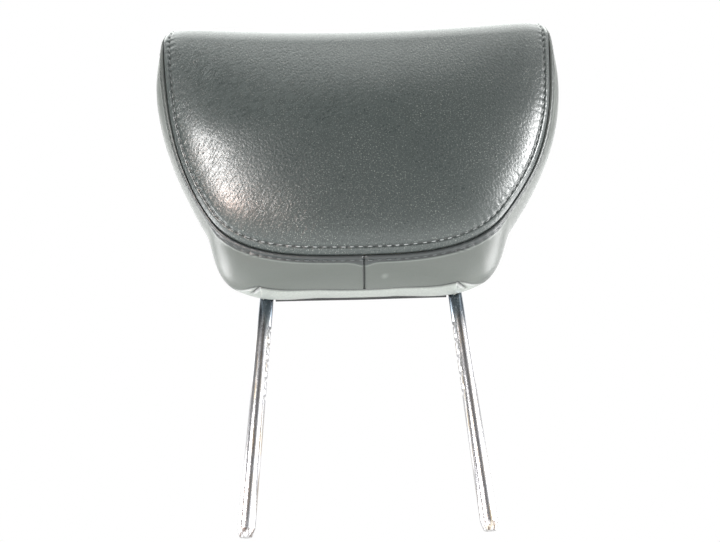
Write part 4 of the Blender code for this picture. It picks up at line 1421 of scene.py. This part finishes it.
    def _centre_line(self) -> SeamLine:
        """The short seam between the two side panels under the chin."""
        s = np.linspace(0.0, self.form.sizes.flap_start, 160)
        t = np.zeros_like(s)
        normal = self._side_normal(np.full_like(s, self.near_middle), s)
        normal[:, 0] = 0.0
        return SeamLine(self.form.side_surface(t, s), unit(normal), unit(normal))

    def _flap_line(self) -> SeamLine:
        """The seam by which the front flap is sewn on."""
        t = np.linspace(0.0, self.form.flap_end, 400)
        s = self.form.flap_level(t)
        normal = self._side_normal(np.maximum(t, self.near_middle), s)
        return self._both_halves(self.form.side_surface(t, s), normal, normal)

    def _fold_line(self, start: float, end: float, level: Callable[[Points], Points]) -> SeamLine:
        """A fold in the leather beside the flap's end.

        Args:
            start: Share along the seams at which it starts.
            end: Share at which it runs out.
            level: Gives its share across the side.

        Returns:
            The fold, on the right-hand side.
        """
        t = np.linspace(start, end, 200)
        normal = self._side_normal(t, level(t))
        return SeamLine(self.form.side_surface(t, level(t)), normal, normal)

    def _settled(self, places: Points) -> Points:
        """Let the cover sit as sewn by hand: it leans a little to one side and is fuller on the right."""
        shift = np.interp(places[:, 2], self.sway_heights, self.sway_shifts)
        fuller = self.right_fullness * hump(places[:, 2], self.fullest_height, self.fullness_reach)
        settled = places.copy()
        settled[:, 0] += shift + fuller * np.maximum(places[:, 0], 0.0)
        return settled

    def _seamed(self, places: Points, normal: Points,
                seams: Sequence[tuple[SeamLine, SeamLook]]) -> tuple[Points, Points, Points]:
        """Shape the leather beside its seams.

        Args:
            places: Points on the smooth form.
            normal: Outward normals there.
            seams: Each seam with its look.

        Returns:
            The shaped places, each one's distance from every seam and the painted shade of the seams' grooves and
            stitch rows there, from 0 to 1.
        """
        shaped = places.copy()
        distances, crevice = [], np.zeros(len(places))
        for line, look in seams:
            distance, along, outward = line.near(places)
            presence = look.presence(along, line.length)
            shaped += (normal * look.relief(distance, along)[:, None]
                       - outward * (look.groove(distance) * presence)[:, None])
            distances.append(distance)
            crevice = np.maximum(crevice, look.painted_shade(distance, along) * presence)
        return shaped, np.array(distances), crevice

    def _cut(self, plan: PanelPlan, cell: float, depths: Sequence[float]) -> NetCut:
        """Flat cut of the front or the back panel.

        Args:
            plan: Which of the two.
            cell: Size of a cell.
            depths: Depths of the rows inside the seam, in millimetres.

        Returns:
            The cut.
        """
        lower = np.linspace(0.0, plan.corner, round(plan.corner / cell) + 1)
        upper = np.linspace(plan.corner, plan.outline.length, round((plan.outline.length - plan.corner) / cell) + 1)
        half = plan.outline.at(np.concatenate((lower, upper[1:])))
        if plan.over_top:
            count = round((self.form.front.length - self.form.face_length) / cell) + 1
            half = np.concatenate((half, self.form.top_seam_flat(np.linspace(0.0, 1.0, count)[1:])))
        return NetCut(half, len(lower) - 1, [depth * MM for depth in depths])

    def _close(self, piece: bpy.types.Object, places: Points, **values: Points) -> None:
        """Put a lifted sheet in place and give it the leather's thickness.

        Args:
            piece: The sheet.
            places: Places of its vertices.
            values: Numbers for each vertex that its finish reads.
        """
        Part.move(piece, self._settled(places))
        for name, numbers in values.items():
            Part.write_value(piece, name, numbers)
        Part.face_outward(piece, HEAD_CENTRE)
        mesh = bmesh.new()
        mesh.from_mesh(piece.data)
        self.trees[piece.name] = BVHTree.FromBMesh(mesh)
        mesh.free()
        wall = piece.modifiers.new("thickness", "SOLIDIFY")
        wall.thickness = self.thickness
        wall.offset = -1.0

    def _main_panel(self, plan: PanelPlan) -> bpy.types.Object:
        """Build the front or the back panel, swollen over the foam and drawn in at its seams."""
        piece = Part.mesh_object(plan.name, self._cut(plan, self.cell, plan.depths).build())
        flat = Part.places(piece)[:, :2]
        Part.write_uv(piece, flat)
        base, normal = plan.surface(flat[:, 0], flat[:, 1]), plan.normal(flat)
        distance, along, outward = plan.line.near(base)
        top_distance = plan.profile.length - flat[:, 1]
        inside = np.minimum(distance, top_distance)
        swell = self.form.swell(inside, flat[:, 1])
        coarse = self._cut(plan, self.trial.cell, self.trial_depths)
        swell = self.trial.blend(swell, flat, self.trial.swell(coarse, plan.surface, plan.normal))
        places = base + normal * swell[:, None]
        places += normal * plan.look.relief(distance, along)[:, None]
        places -= outward * plan.look.groove(distance)[:, None]
        places -= self.top_rear_line.near(base)[2] * self.plain_look.groove(top_distance)[:, None]
        # The face's seam groove and stitch holes get painted shade.
        values = {"seam_distance": inside, "crevice": plan.look.painted_shade(distance, along)} if plan.grained else {}
        self._close(piece, places, **values)
        return piece

    def front_panel(self) -> bpy.types.Object:
        """Build the grained front panel, which also covers the top."""
        form = self.form
        return self._main_panel(PanelPlan("front_panel_leather", form.front, form.front_outline, form.corner_length,
                                          form.front_surface, self._front_normal, self.front_line, self.face_look,
                                          self.front_depths, over_top=True, grained=True))

    def back_panel(self) -> bpy.types.Object:
        """Build the smooth back panel."""
        form = self.form
        return self._main_panel(PanelPlan("back_panel_leather", form.back, form.back_outline, form.back_corner_length,
                                          form.back_surface, self._back_normal, self.rear_line, self.plain_look,
                                          self.back_depths))

    def side_panel(self, side: Side) -> bpy.types.Object:
        """Build one side panel, which wraps round the side and under the chin.

        Args:
            side: Left or right.

        Returns:
            The panel.
        """
        form, sizes = self.form, self.form.sizes
        length, depth = form.front_outline.length, form.underside_depth
        end, fold_end = form.flap_end, form.flap_end + sizes.fold_length
        t_wanted = (*beside((0.0, end, 1.0), [step * MM / length for step in self.seam_steps]),
                    *np.arange(end, fold_end, self.fold_cell / length), *np.arange(0.0, 1.0, self.cell / length))
        s_fixed = (0.0, sizes.flap_start, form.closing_front, form.closing_rear, 1.0)
        s_wanted = (*beside(s_fixed, [step * MM / depth for step in self.grid_steps]),
                    *np.arange(*self.chin_rows, self.chin_cell / depth),
                    *np.arange(0.0, 1.0, self.side_cell / depth))
        t_lines = merged((0.0, end, 1.0), t_wanted, 0.2 * MM / length)
        s_lines = merged(s_fixed, s_wanted, 0.25 * MM / depth)

        def keep(t: float, v: float) -> bool:
            """Whether a cell belongs to the side panel and not to a flap."""
            return t > end or v < sizes.flap_start

        piece = Part.mesh_object(f"side_panel_{side.name.lower()}_leather", GridCut(t_lines, s_lines).build(keep))
        flat = Part.places(piece)[:, :2]
        t, s = flat[:, 0], form.along_flap(flat[:, 0], flat[:, 1])
        Part.write_uv(piece, np.stack([t * length, s * depth], axis=-1))
        base = form.side_surface(t, s)
        normal = self._side_normal(t, s)
        seams = [(self.front_line, self.side_look), (self.rear_line, self.plain_look),
                 (self.centre_line, self.fine_look), (self.flap_line, self.flap_look),
                 (self.fold_line, self.fold_look), (self.pocket_line, self.pocket_look)]
        places, distances, crevice = self._seamed(base, normal, seams)
        # Past the flap's seam, by the fold, the side panel is painted paler like the flaps, as lit from below.
        below_fold = smooth_share(s - form.flap_level(t), 0.0, self.underside_edge / depth)
        fading = smooth_share(t, *(fold_end + step for step in self.underside_fade))
        underside = below_fold * (1 - fading) * (s < self.underside_end)
        # The band beside the front seam gets painted shade, widest at the chin's middle and fading out higher up, with
        # a painted highlight along its folded edge.
        chin = base[:, 2] < self.chin_height
        reach = distances[0] - self.allowance_dip * hump(base[:, 0], 0.0, self.allowance_reach) * chin
        fade = 1 - self.allowance_fade * smooth_share(base[:, 2], self.chin_height, self.allowance_fade_end)
        edge = self.side_look.fold_edge
        sewn = (1 - smooth_share(reach, *(edge + step for step in self.sewn_edge))) * fade
        rim = hump(reach, edge + self.rim_place, self.rim_width)
        places *= np.array((side.value, 1.0, 1.0))
        places[:, 0] += self.chin_seam_shift * hump(places[:, 0], 0.0, self.chin_seam_reach) * chin
        self._close(piece, places, sewn=sewn, rim=rim, crevice=crevice, underside=underside)
        self._open_post_hole(piece, side)
        return piece

    def flap(self, front: bool) -> bpy.types.Object:
        """Build one of the two narrow flaps beside the closing line.

        Args:
            front: True for the flap in front of the closing line.

        Returns:
            The flap.
        """
        form, sizes = self.form, self.form.sizes
        length, depth = form.front_outline.length, form.underside_depth
        low, high = (sizes.flap_start, form.closing_front) if front else (form.closing_rear, 1.0)
        half = merged((0.0, form.flap_end), np.arange(0.0, form.flap_end, self.cell / length), 0.6 * MM / length)
        s_wanted = (*beside((low, high), [step * MM / depth for step in self.flap_steps]),
                    *np.arange(low, high, self.flap_cell / depth))
        name = "bottom_flap_front_leather" if front else "bottom_flap_rear_leather"
        cut = GridCut(np.concatenate((-half[:0:-1], half)), merged((low, high), s_wanted, 0.3 * MM / depth))
        piece = Part.mesh_object(name, cut.build())
        flat = Part.places(piece)[:, :2]
        t = np.abs(flat[:, 0])
        s = form.along_flap(t, flat[:, 1])
        mirror = np.stack([np.where(flat[:, 0] < 0, -1.0, 1.0), np.ones_like(t), np.ones_like(t)], axis=-1)
        Part.write_uv(piece, np.stack([flat[:, 0] * length, s * depth], axis=-1))
        base = form.side_surface(t, s) * mirror
        normal = self._side_normal(np.maximum(t, 0.003), s) * mirror
        seams = [(self.flap_line, self.flap_look)] if front else [(self.rear_line, self.plain_look)]
        places, _, crevice = self._seamed(base, normal, seams)
        # The flaps are painted paler all over, as lit from below.
        self._close(piece, places, crevice=crevice, underside=np.ones_like(t))
        return piece

    def _open_post_hole(self, piece: bpy.types.Object, side: Side) -> None:
        """Cut the round hole that the post comes out by."""
        sizes = self.form.sizes
        centre = Vector((side.value * sizes.post_spacing / 2, 0.0))
        radius = sizes.post_diameter / 2 + sizes.post_hole_margin
        mesh = bmesh.new()
        mesh.from_mesh(piece.data)
        middles = {face: face.calc_center_median() for face in mesh.faces}
        inside = [face for face, middle in middles.items()
                  if (middle.xy - centre).length < radius and middle.z < self.hole_height]
        bmesh.ops.delete(mesh, geom=inside, context="FACES")
        for vert in mesh.verts:
            gap = vert.co.xy - centre
            if vert.is_boundary and vert.co.z < self.hole_height and gap.length < radius * self.hole_reach:
                vert.co.xy = centre + gap.normalized() * radius
        mesh.to_mesh(piece.data)
        mesh.free()

    def stitches(self, inner: bool) -> bpy.types.Object:
        """Sew one row of top stitches beside the front seam, one thread length for each stitch.

        Args:
            inner: True for the row on the face, False for the row on the sides.

        Returns:
            The row.
        """
        line = self.front_line
        look = self.face_look if inner else self.side_look
        panel_normals, turn = (line.first, 1.0) if inner else (line.second, -1.0)
        names = ("front_panel_leather",) if inner else ("side_panel_left_leather", "side_panel_right_leather")
        count = int(line.length / look.pitch) - 1
        along = (np.arange(count) + 0.5) * look.pitch
        normal = unit(line.at(panel_normals, along))
        tangent = unit(line.at(line.tangent, along))
        place = line.at(line.points, along) + np.cross(normal, tangent) * turn * look.row
        holes = [self._on_leather(Vector(point), names) for point in self._settled(place)]
        mesh = bmesh.new()
        for (start, up), (end, _) in zip(holes, holes[1:]):
            self._stitch(mesh, start, end, up, look.thread)
        return Part.mesh_object("front_seam_inner_stitches" if inner else "front_seam_outer_stitches", mesh)

    def _on_leather(self, place: Vector, names: Sequence[str]) -> tuple[Vector, Vector]:
        """Nearest place on some panels, and the leather's normal there."""
        found = min((self.trees[name].find_nearest(place) for name in names), key=lambda hit: hit[3])
        return found[0], found[1]

    def _stitch(self, mesh: bmesh.types.BMesh, start: Vector, end: Vector, up: Vector, thread: float) -> None:
        """Add one thread length that dips into a hole at each end."""
        axis = end - start
        length = axis.length
        forward = axis.normalized()
        across = up.cross(forward).normalized()
        upward = forward.cross(across)
        middle = (start + end) / 2 + upward * thread * self.stitch_lift
        frame = Matrix((forward * length * self.stitch_share, across * thread, upward * thread)).transposed().to_4x4()
        bmesh.ops.create_uvsphere(mesh, u_segments=8, v_segments=6, radius=1.0,
                                  matrix=Matrix.Translation(middle) @ frame @ Matrix.Rotation(math.pi / 2, 4, "Y"))


@dataclass
class PostRod:
    """The bent rod: two posts with locking notches, leaning legs inside the head and a crossbar."""

    spacing: float = 0.138
    diameter: float = 0.010
    length: float = 0.158
    bend_height: float = 0.020
    bend_radius: float = 0.030
    lean: float = math.radians(16)
    rise: float = 0.104
    shoulder_radius: float = 0.024
    tip_length: float = 0.0045
    tip_flat_share: float = 0.70
    notch_first: float = 0.026
    notch_pitch: float = 0.0125
    notch_count: int = 5
    notch_depth: float = 0.0013
    notch_height: float = 0.0030
    notch_wall: float = 0.0004
    bend_steps: int = 12
    shoulder_steps: int = 16
    sides: int = 48

    def _left_half(self) -> list[tuple[Vector, float]]:
        """Points up the left post and over to the crossbar, each with its share of the radius."""
        half = self.spacing / 2
        tip = -self.length
        points = [(Vector((-half, 0.0, tip)), self.tip_flat_share - 0.04),
                  (Vector((-half, 0.0, tip + 0.0002)), self.tip_flat_share),
                  (Vector((-half, 0.0, tip + self.tip_length * 0.96)), 0.985),
                  (Vector((-half, 0.0, tip + self.tip_length * 1.1)), 1.0)]
        edge, wall = self.notch_height / 2, self.notch_wall
        for middle in reversed(self._notches()):
            for offset in (-edge - wall, -edge, edge, edge + wall):
                points.append((Vector((-half, 0.0, middle + offset)), 1.0))
        reach = self.bend_radius * math.tan(self.lean / 2)
        start = Vector((-half, 0.0, self.bend_height - reach))
        for step in range(self.bend_steps + 1):
            angle = self.lean * step / self.bend_steps
            forward = self.bend_radius * (1 - math.cos(angle))
            points.append((start + Vector((0.0, -forward, self.bend_radius * math.sin(angle))), 1.0))
        frame = Matrix.Translation((0.0, 0.0, self.bend_height)) @ Matrix.Rotation(self.lean, 4, "X")
        for step in range(self.shoulder_steps + 1):
            angle = math.pi / 2 * step / self.shoulder_steps
            x = -half + self.shoulder_radius * (1 - math.cos(angle))
            z = self.rise - self.shoulder_radius * (1 - math.sin(angle))
            points.append((frame @ Vector((x, 0.0, z)), 1.0))
        return points

    def _notches(self) -> list[float]:
        """Heights of the notches' middles, from the top down."""
        return [-self.notch_first - self.notch_pitch * index for index in range(self.notch_count)]

    def _in_notch(self, z: float) -> bool:
        """Whether a height lies on the floor of a notch."""
        return any(abs(z - middle) <= self.notch_height / 2 + 1e-6 for middle in self._notches())

    def build(self) -> bpy.types.Object:
        """Sweep a ring of points along the rod's middle line."""
        left = self._left_half()
        path = left + [(Vector((-p.x, p.y, p.z)), share) for p, share in reversed(left)]
        mesh = bmesh.new()
        bmesh.ops.create_circle(mesh, cap_ends=False, segments=self.sides, radius=1.0)
        edges, verts = list(mesh.edges), list(mesh.verts)
        previous, turn, tangent = Matrix.Identity(4), Matrix.Identity(3), Vector((0.0, 0.0, 1.0))
        for index, (point, share) in enumerate(path):
            if index:
                grown = bmesh.ops.extrude_edge_only(mesh, edges=edges)["geom"]
                verts = only(grown, bmesh.types.BMVert)
                edges = [edge for edge in only(grown, bmesh.types.BMEdge) if edge.is_boundary]
            before = path[max(index - 1, 0)][0]
            after = path[min(index + 1, len(path) - 1)][0]
            heading = (after - before).normalized()
            turn = tangent.rotation_difference(heading).to_matrix() @ turn
            tangent = heading
            radius = self.diameter / 2 * share
            frame = Matrix.Translation(point) @ turn.to_4x4() @ Matrix.Diagonal((radius, radius, radius, 1.0))
            bmesh.ops.transform(mesh, matrix=frame @ previous.inverted(), verts=verts)
            previous = frame
        bmesh.ops.holes_fill(mesh, edges=[edge for edge in mesh.edges if edge.is_boundary], sides=0)
        floor = self.spacing / 2 - self.diameter / 2 + self.notch_depth
        for vert in mesh.verts:
            if vert.co.z < 0 and self._in_notch(vert.co.z):
                vert.co.x = math.copysign(max(abs(vert.co.x), floor), vert.co.x)
        bmesh.ops.recalc_face_normals(mesh, faces=mesh.faces)
        return Part.mesh_object("post_rod", mesh)


@dataclass
class Padding:
    """The foam inside the cover."""

    merge_distance: float = 0.01 * MM
    levels: int = 1

    def build(self, node: bpy.types.Object) -> bpy.types.Object:
        """Make a finer copy of the fixed frame's foam."""
        mesh = bmesh.new()
        mesh.from_mesh(node.data)
        bmesh.ops.remove_doubles(mesh, verts=mesh.verts, dist=self.merge_distance)
        piece = Part.mesh_object("foam_pad", mesh)
        soft = piece.modifiers.new("soft", "SUBSURF")
        soft.subdivision_type = "SIMPLE"
        soft.levels = soft.render_levels = self.levels
        return piece


@dataclass(frozen=True)
class PhotoView:
    """The photograph's camera, in metres and degrees."""

    place: tuple[float, float, float] = (-0.0030587, -0.3318865, -0.2067557)
    yaw: float = 0.50
    pitch: float = 34.64
    roll: float = -1.72
    focal_pixels: float = 532.86
    width_pixels: int = 720
    sensor: float = 36.0

    def build(self) -> None:
        """Make the camera."""
        yaw, pitch, roll = (math.radians(angle) for angle in (self.yaw, self.pitch, self.roll))
        ahead = Vector((math.sin(yaw) * math.cos(pitch), math.cos(yaw) * math.cos(pitch), math.sin(pitch)))
        level = Vector((math.cos(yaw), -math.sin(yaw), 0.0))
        upright = level.cross(ahead)
        right = level * math.cos(roll) + upright * math.sin(roll)
        up = upright * math.cos(roll) - level * math.sin(roll)
        data = bpy.data.cameras.new("photo_camera")
        data.sensor_width = self.sensor
        data.lens = self.focal_pixels * self.sensor / self.width_pixels
        data.clip_start = 0.01
        camera = bpy.data.objects.new("photo_camera", data)
        bpy.context.scene.collection.objects.link(camera)
        camera.matrix_world = Matrix.Translation(self.place) @ Matrix((right, up, -ahead)).transposed().to_4x4()
        bpy.context.scene.camera = camera


@dataclass(frozen=True)
class Lamp:
    """One soft lamp of the studio."""

    name: str
    place: tuple[float, float, float]
    target: tuple[float, float, float]
    size: tuple[float, float]
    watts: float
    colour: Colour = (1.0, 1.0, 1.0)
    gloss_only: bool = False
    soft_only: bool = False

    def build(self) -> None:
        """Make the lamp."""
        data = bpy.data.lights.new(self.name, "AREA")
        data.shape = "RECTANGLE"
        data.size, data.size_y = self.size
        data.energy = self.watts
        data.color = self.colour
        lamp = bpy.data.objects.new(self.name, data)
        lamp.location = self.place
        lamp.rotation_mode = "QUATERNION"
        lamp.rotation_quaternion = (Vector(self.target) - Vector(self.place)).to_track_quat("-Z", "Y")
        lamp.visible_camera = False
        lamp.visible_diffuse = not self.gloss_only
        lamp.visible_glossy = not self.soft_only
        bpy.context.scene.collection.objects.link(lamp)


@dataclass(frozen=True)
class Card:
    """A card that only gloss and chrome see, which gives them their darker parts."""

    name: str
    place: tuple[float, float, float]
    target: tuple[float, float, float]
    size: tuple[float, float]
    level: float

    def build(self) -> None:
        """Make the card."""
        mesh = bmesh.new()
        bmesh.ops.create_grid(mesh, x_segments=1, y_segments=1, size=0.5)
        bmesh.ops.scale(mesh, vec=(*self.size, 1.0), verts=mesh.verts)
        facing = (Vector(self.target) - Vector(self.place)).to_track_quat("Z", "Y").to_matrix().to_4x4()
        bmesh.ops.transform(mesh, matrix=Matrix.Translation(self.place) @ facing, verts=mesh.verts)
        card = Part.mesh_object(self.name, mesh)
        board = Board.paint(self.name + "_paint")
        paint = board.surface(Base_Color=rgba((0.0, 0.0, 0.0)), Roughness=1.0, Specular_IOR_Level=0.0,
                              Emission_Color=rgba((self.level,) * 3), Emission_Strength=1.0)
        card.data.materials.append(paint)
        card.visible_camera = False
        card.visible_shadow = False
        card.visible_diffuse = False


@dataclass(frozen=True)
class Studio:
    """Plain pale floor, white surroundings and soft lamps."""

    floor_height: float = -0.36
    floor_size: float = 6.0
    ambient: float = 0.55
    lamps: tuple[Lamp, ...] = (
        Lamp("overhead_lamp", (0.0, -0.16, 1.35), (0.0, -0.14, 0.10), (2.2, 1.7), 38.0, (0.96, 1.0, 0.97)),
        Lamp("left_window", (-0.75, -1.00, 0.02), (-0.09, -0.07, 0.05), (0.38, 0.34), 16.5, gloss_only=True),
        Lamp("left_warm_lamp", (-0.74, -1.00, -0.22), (-0.09, -0.07, 0.03), (0.30, 0.20), 7.5, (1.0, 0.70, 0.58), True),
        Lamp("right_window", (1.10, -0.56, 0.09), (0.11, -0.07, 0.06), (0.40, 0.60), 27.0, gloss_only=True),
        Lamp("rear_left_lamp", (-0.95, 1.00, 0.75), (-0.12, -0.04, 0.06), (0.9, 0.9), 3.6),
        Lamp("rear_right_lamp", (0.95, 1.00, 0.75), (0.12, -0.04, 0.06), (0.9, 0.9), 3.6),
        Lamp("low_left_lamp", (-0.92, 0.21, -0.20), (-0.09, -0.04, 0.00), (0.75, 0.55), 12.5),
        Lamp("low_right_lamp", (0.92, 0.21, -0.20), (0.09, -0.04, 0.00), (0.75, 0.55), 12.5),
        Lamp("front_low_lamp", (0.0, -0.85, -0.28), (0.0, -0.06, 0.02), (1.4, 0.4), 1.5, soft_only=True),
        Lamp("low_lamp", (0.0, -0.15, -0.33), (0.0, -0.02, 0.0), (1.2, 0.8), 2.4),
    )
    cards: tuple[Card, ...] = (
        Card("front_card", (-0.17, -1.10, 0.10), (-0.10, -0.05, 0.05), (1.48, 2.2), 0.15),
        Card("floor_card", (0.05, -0.80, -0.352), (0.05, -0.80, 1.0), (1.1, 0.65), 0.04),
        Card("rear_left_card", (-1.00, 0.90, 0.20), (-0.07, 0.00, 0.00), (1.0, 0.50), 0.60),
        Card("rear_right_card", (1.00, 0.90, 0.20), (0.07, 0.00, 0.00), (1.0, 0.50), 0.60),
        Card("left_card", (-1.20, -0.40, 0.30), (0.0, -0.05, 0.00), (1.5, 1.2), 0.22),
        Card("right_card", (1.25, 0.15, 0.30), (0.0, -0.05, 0.00), (1.0, 1.2), 0.60),
    )

    def _world(self) -> None:
        """Surroundings that light softly and look white to the camera, to gloss and through clear parts."""
        board = Board(bpy.data.worlds.new("studio"), "Background")
        path = board.node("ShaderNodeLightPath")
        seen = [Wire(board, path.outputs[f"Is {kind} Ray"]) for kind in ("Camera", "Glossy", "Transmission")]
        white = seen[0].larger(seen[1]).larger(seen[2])
        bpy.context.scene.world = board.surface(Color=rgba((1.0, 1.0, 1.0)),
                                                Strength=self.ambient + white * (1 - self.ambient))

    def _floor(self) -> None:
        """A plain pale floor under the headrest."""
        mesh = bmesh.new()
        bmesh.ops.create_grid(mesh, x_segments=1, y_segments=1, size=self.floor_size / 2)
        bmesh.ops.translate(mesh, vec=(0.0, 0.0, self.floor_height), verts=mesh.verts)
        floor = Part.mesh_object("floor", mesh)
        paint = Board.paint("floor_paint").surface(Base_Color=rgba((0.9, 0.9, 0.9)), Roughness=0.8)
        floor.data.materials.append(paint)

    def build(self) -> None:
        """Set up the studio."""
        self._world()
        self._floor()
        for fitting in self.lamps + self.cards:
            fitting.build()
        bpy.context.scene.view_settings.view_transform = "Standard"


def dress_frame_nodes(nodes: dict[str, bpy.types.Object]) -> None:
    """Give the frame's own pieces that stay their finishes.

    Args:
        nodes: The fixed frame's nodes by name.
    """
    core = Moulded("core_plastic", (0.055, 0.058, 0.060)).build()
    strip = Moulded("strip_plastic", (0.030, 0.030, 0.032), 0.0006, 0.45).build()
    steel = PlatedSteel().build()
    finishes = {"core_front_half": core, "core_rear_half": core,
                "closing_strip_front": strip, "closing_strip_rear": strip}
    finishes.update({name: steel for name in nodes if name.startswith("core_screw_")})
    for name, material in finishes.items():
        nodes[name].data.materials.clear()
        nodes[name].data.materials.append(material)
        LOG.info("dressed %s", name)


def build_headrest(nodes: dict[str, bpy.types.Object]) -> None:
    """Make every visible piece of the headrest.

    Args:
        nodes: The fixed frame's nodes by name.
    """
    cover = Cover(HeadForm(HeadSizes()))
    grained, smooth = GrainedLeather().build(), SmoothLeather().build()
    front = Part.finish(cover.front_panel(), grained, "leather_face", ["front_panel"])
    back = Part.finish(cover.back_panel(), smooth, "leather_smooth", ["back_panel"])
    for side in Side:
        panel = cover.side_panel(side)
        Part.finish(panel, smooth, "leather_smooth", [f"side_panel_{side.name.lower()}"])
    Part.finish(cover.flap(True), smooth, "leather_smooth", ["bottom_flap_front"])
    Part.finish(cover.flap(False), smooth, "leather_smooth", ["bottom_flap_rear"])
    Part.finish(cover.stitches(True), Thread("inner_thread", (0.115, 0.12, 0.12)).build(), "leather_face")
    # The outer row is the same thread, painted darker than the inner row as painted shade against the light from below.
    Part.finish(cover.stitches(False), Thread("outer_thread", (0.034, 0.038, 0.038)).build(), "leather_smooth")
    Part.finish(PostRod().build(), Chrome().build(), "post_chrome", ["armature_rod"])
    Part.finish(Padding().build(nodes["foam_body"]), Foam().build(), "foam", ["foam_body"])


def main() -> None:
    """Load the frame, dress it and set up the photograph's view."""
    logging.basicConfig(level=logging.INFO, format="%(name)s: %(message)s")
    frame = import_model()
    Studio().build()
    PhotoView().build()
    dress_frame_nodes(frame["nodes"])
    build_headrest(frame["nodes"])
    bpy.context.view_layer.update()


if __name__ == "__main__":
    main()
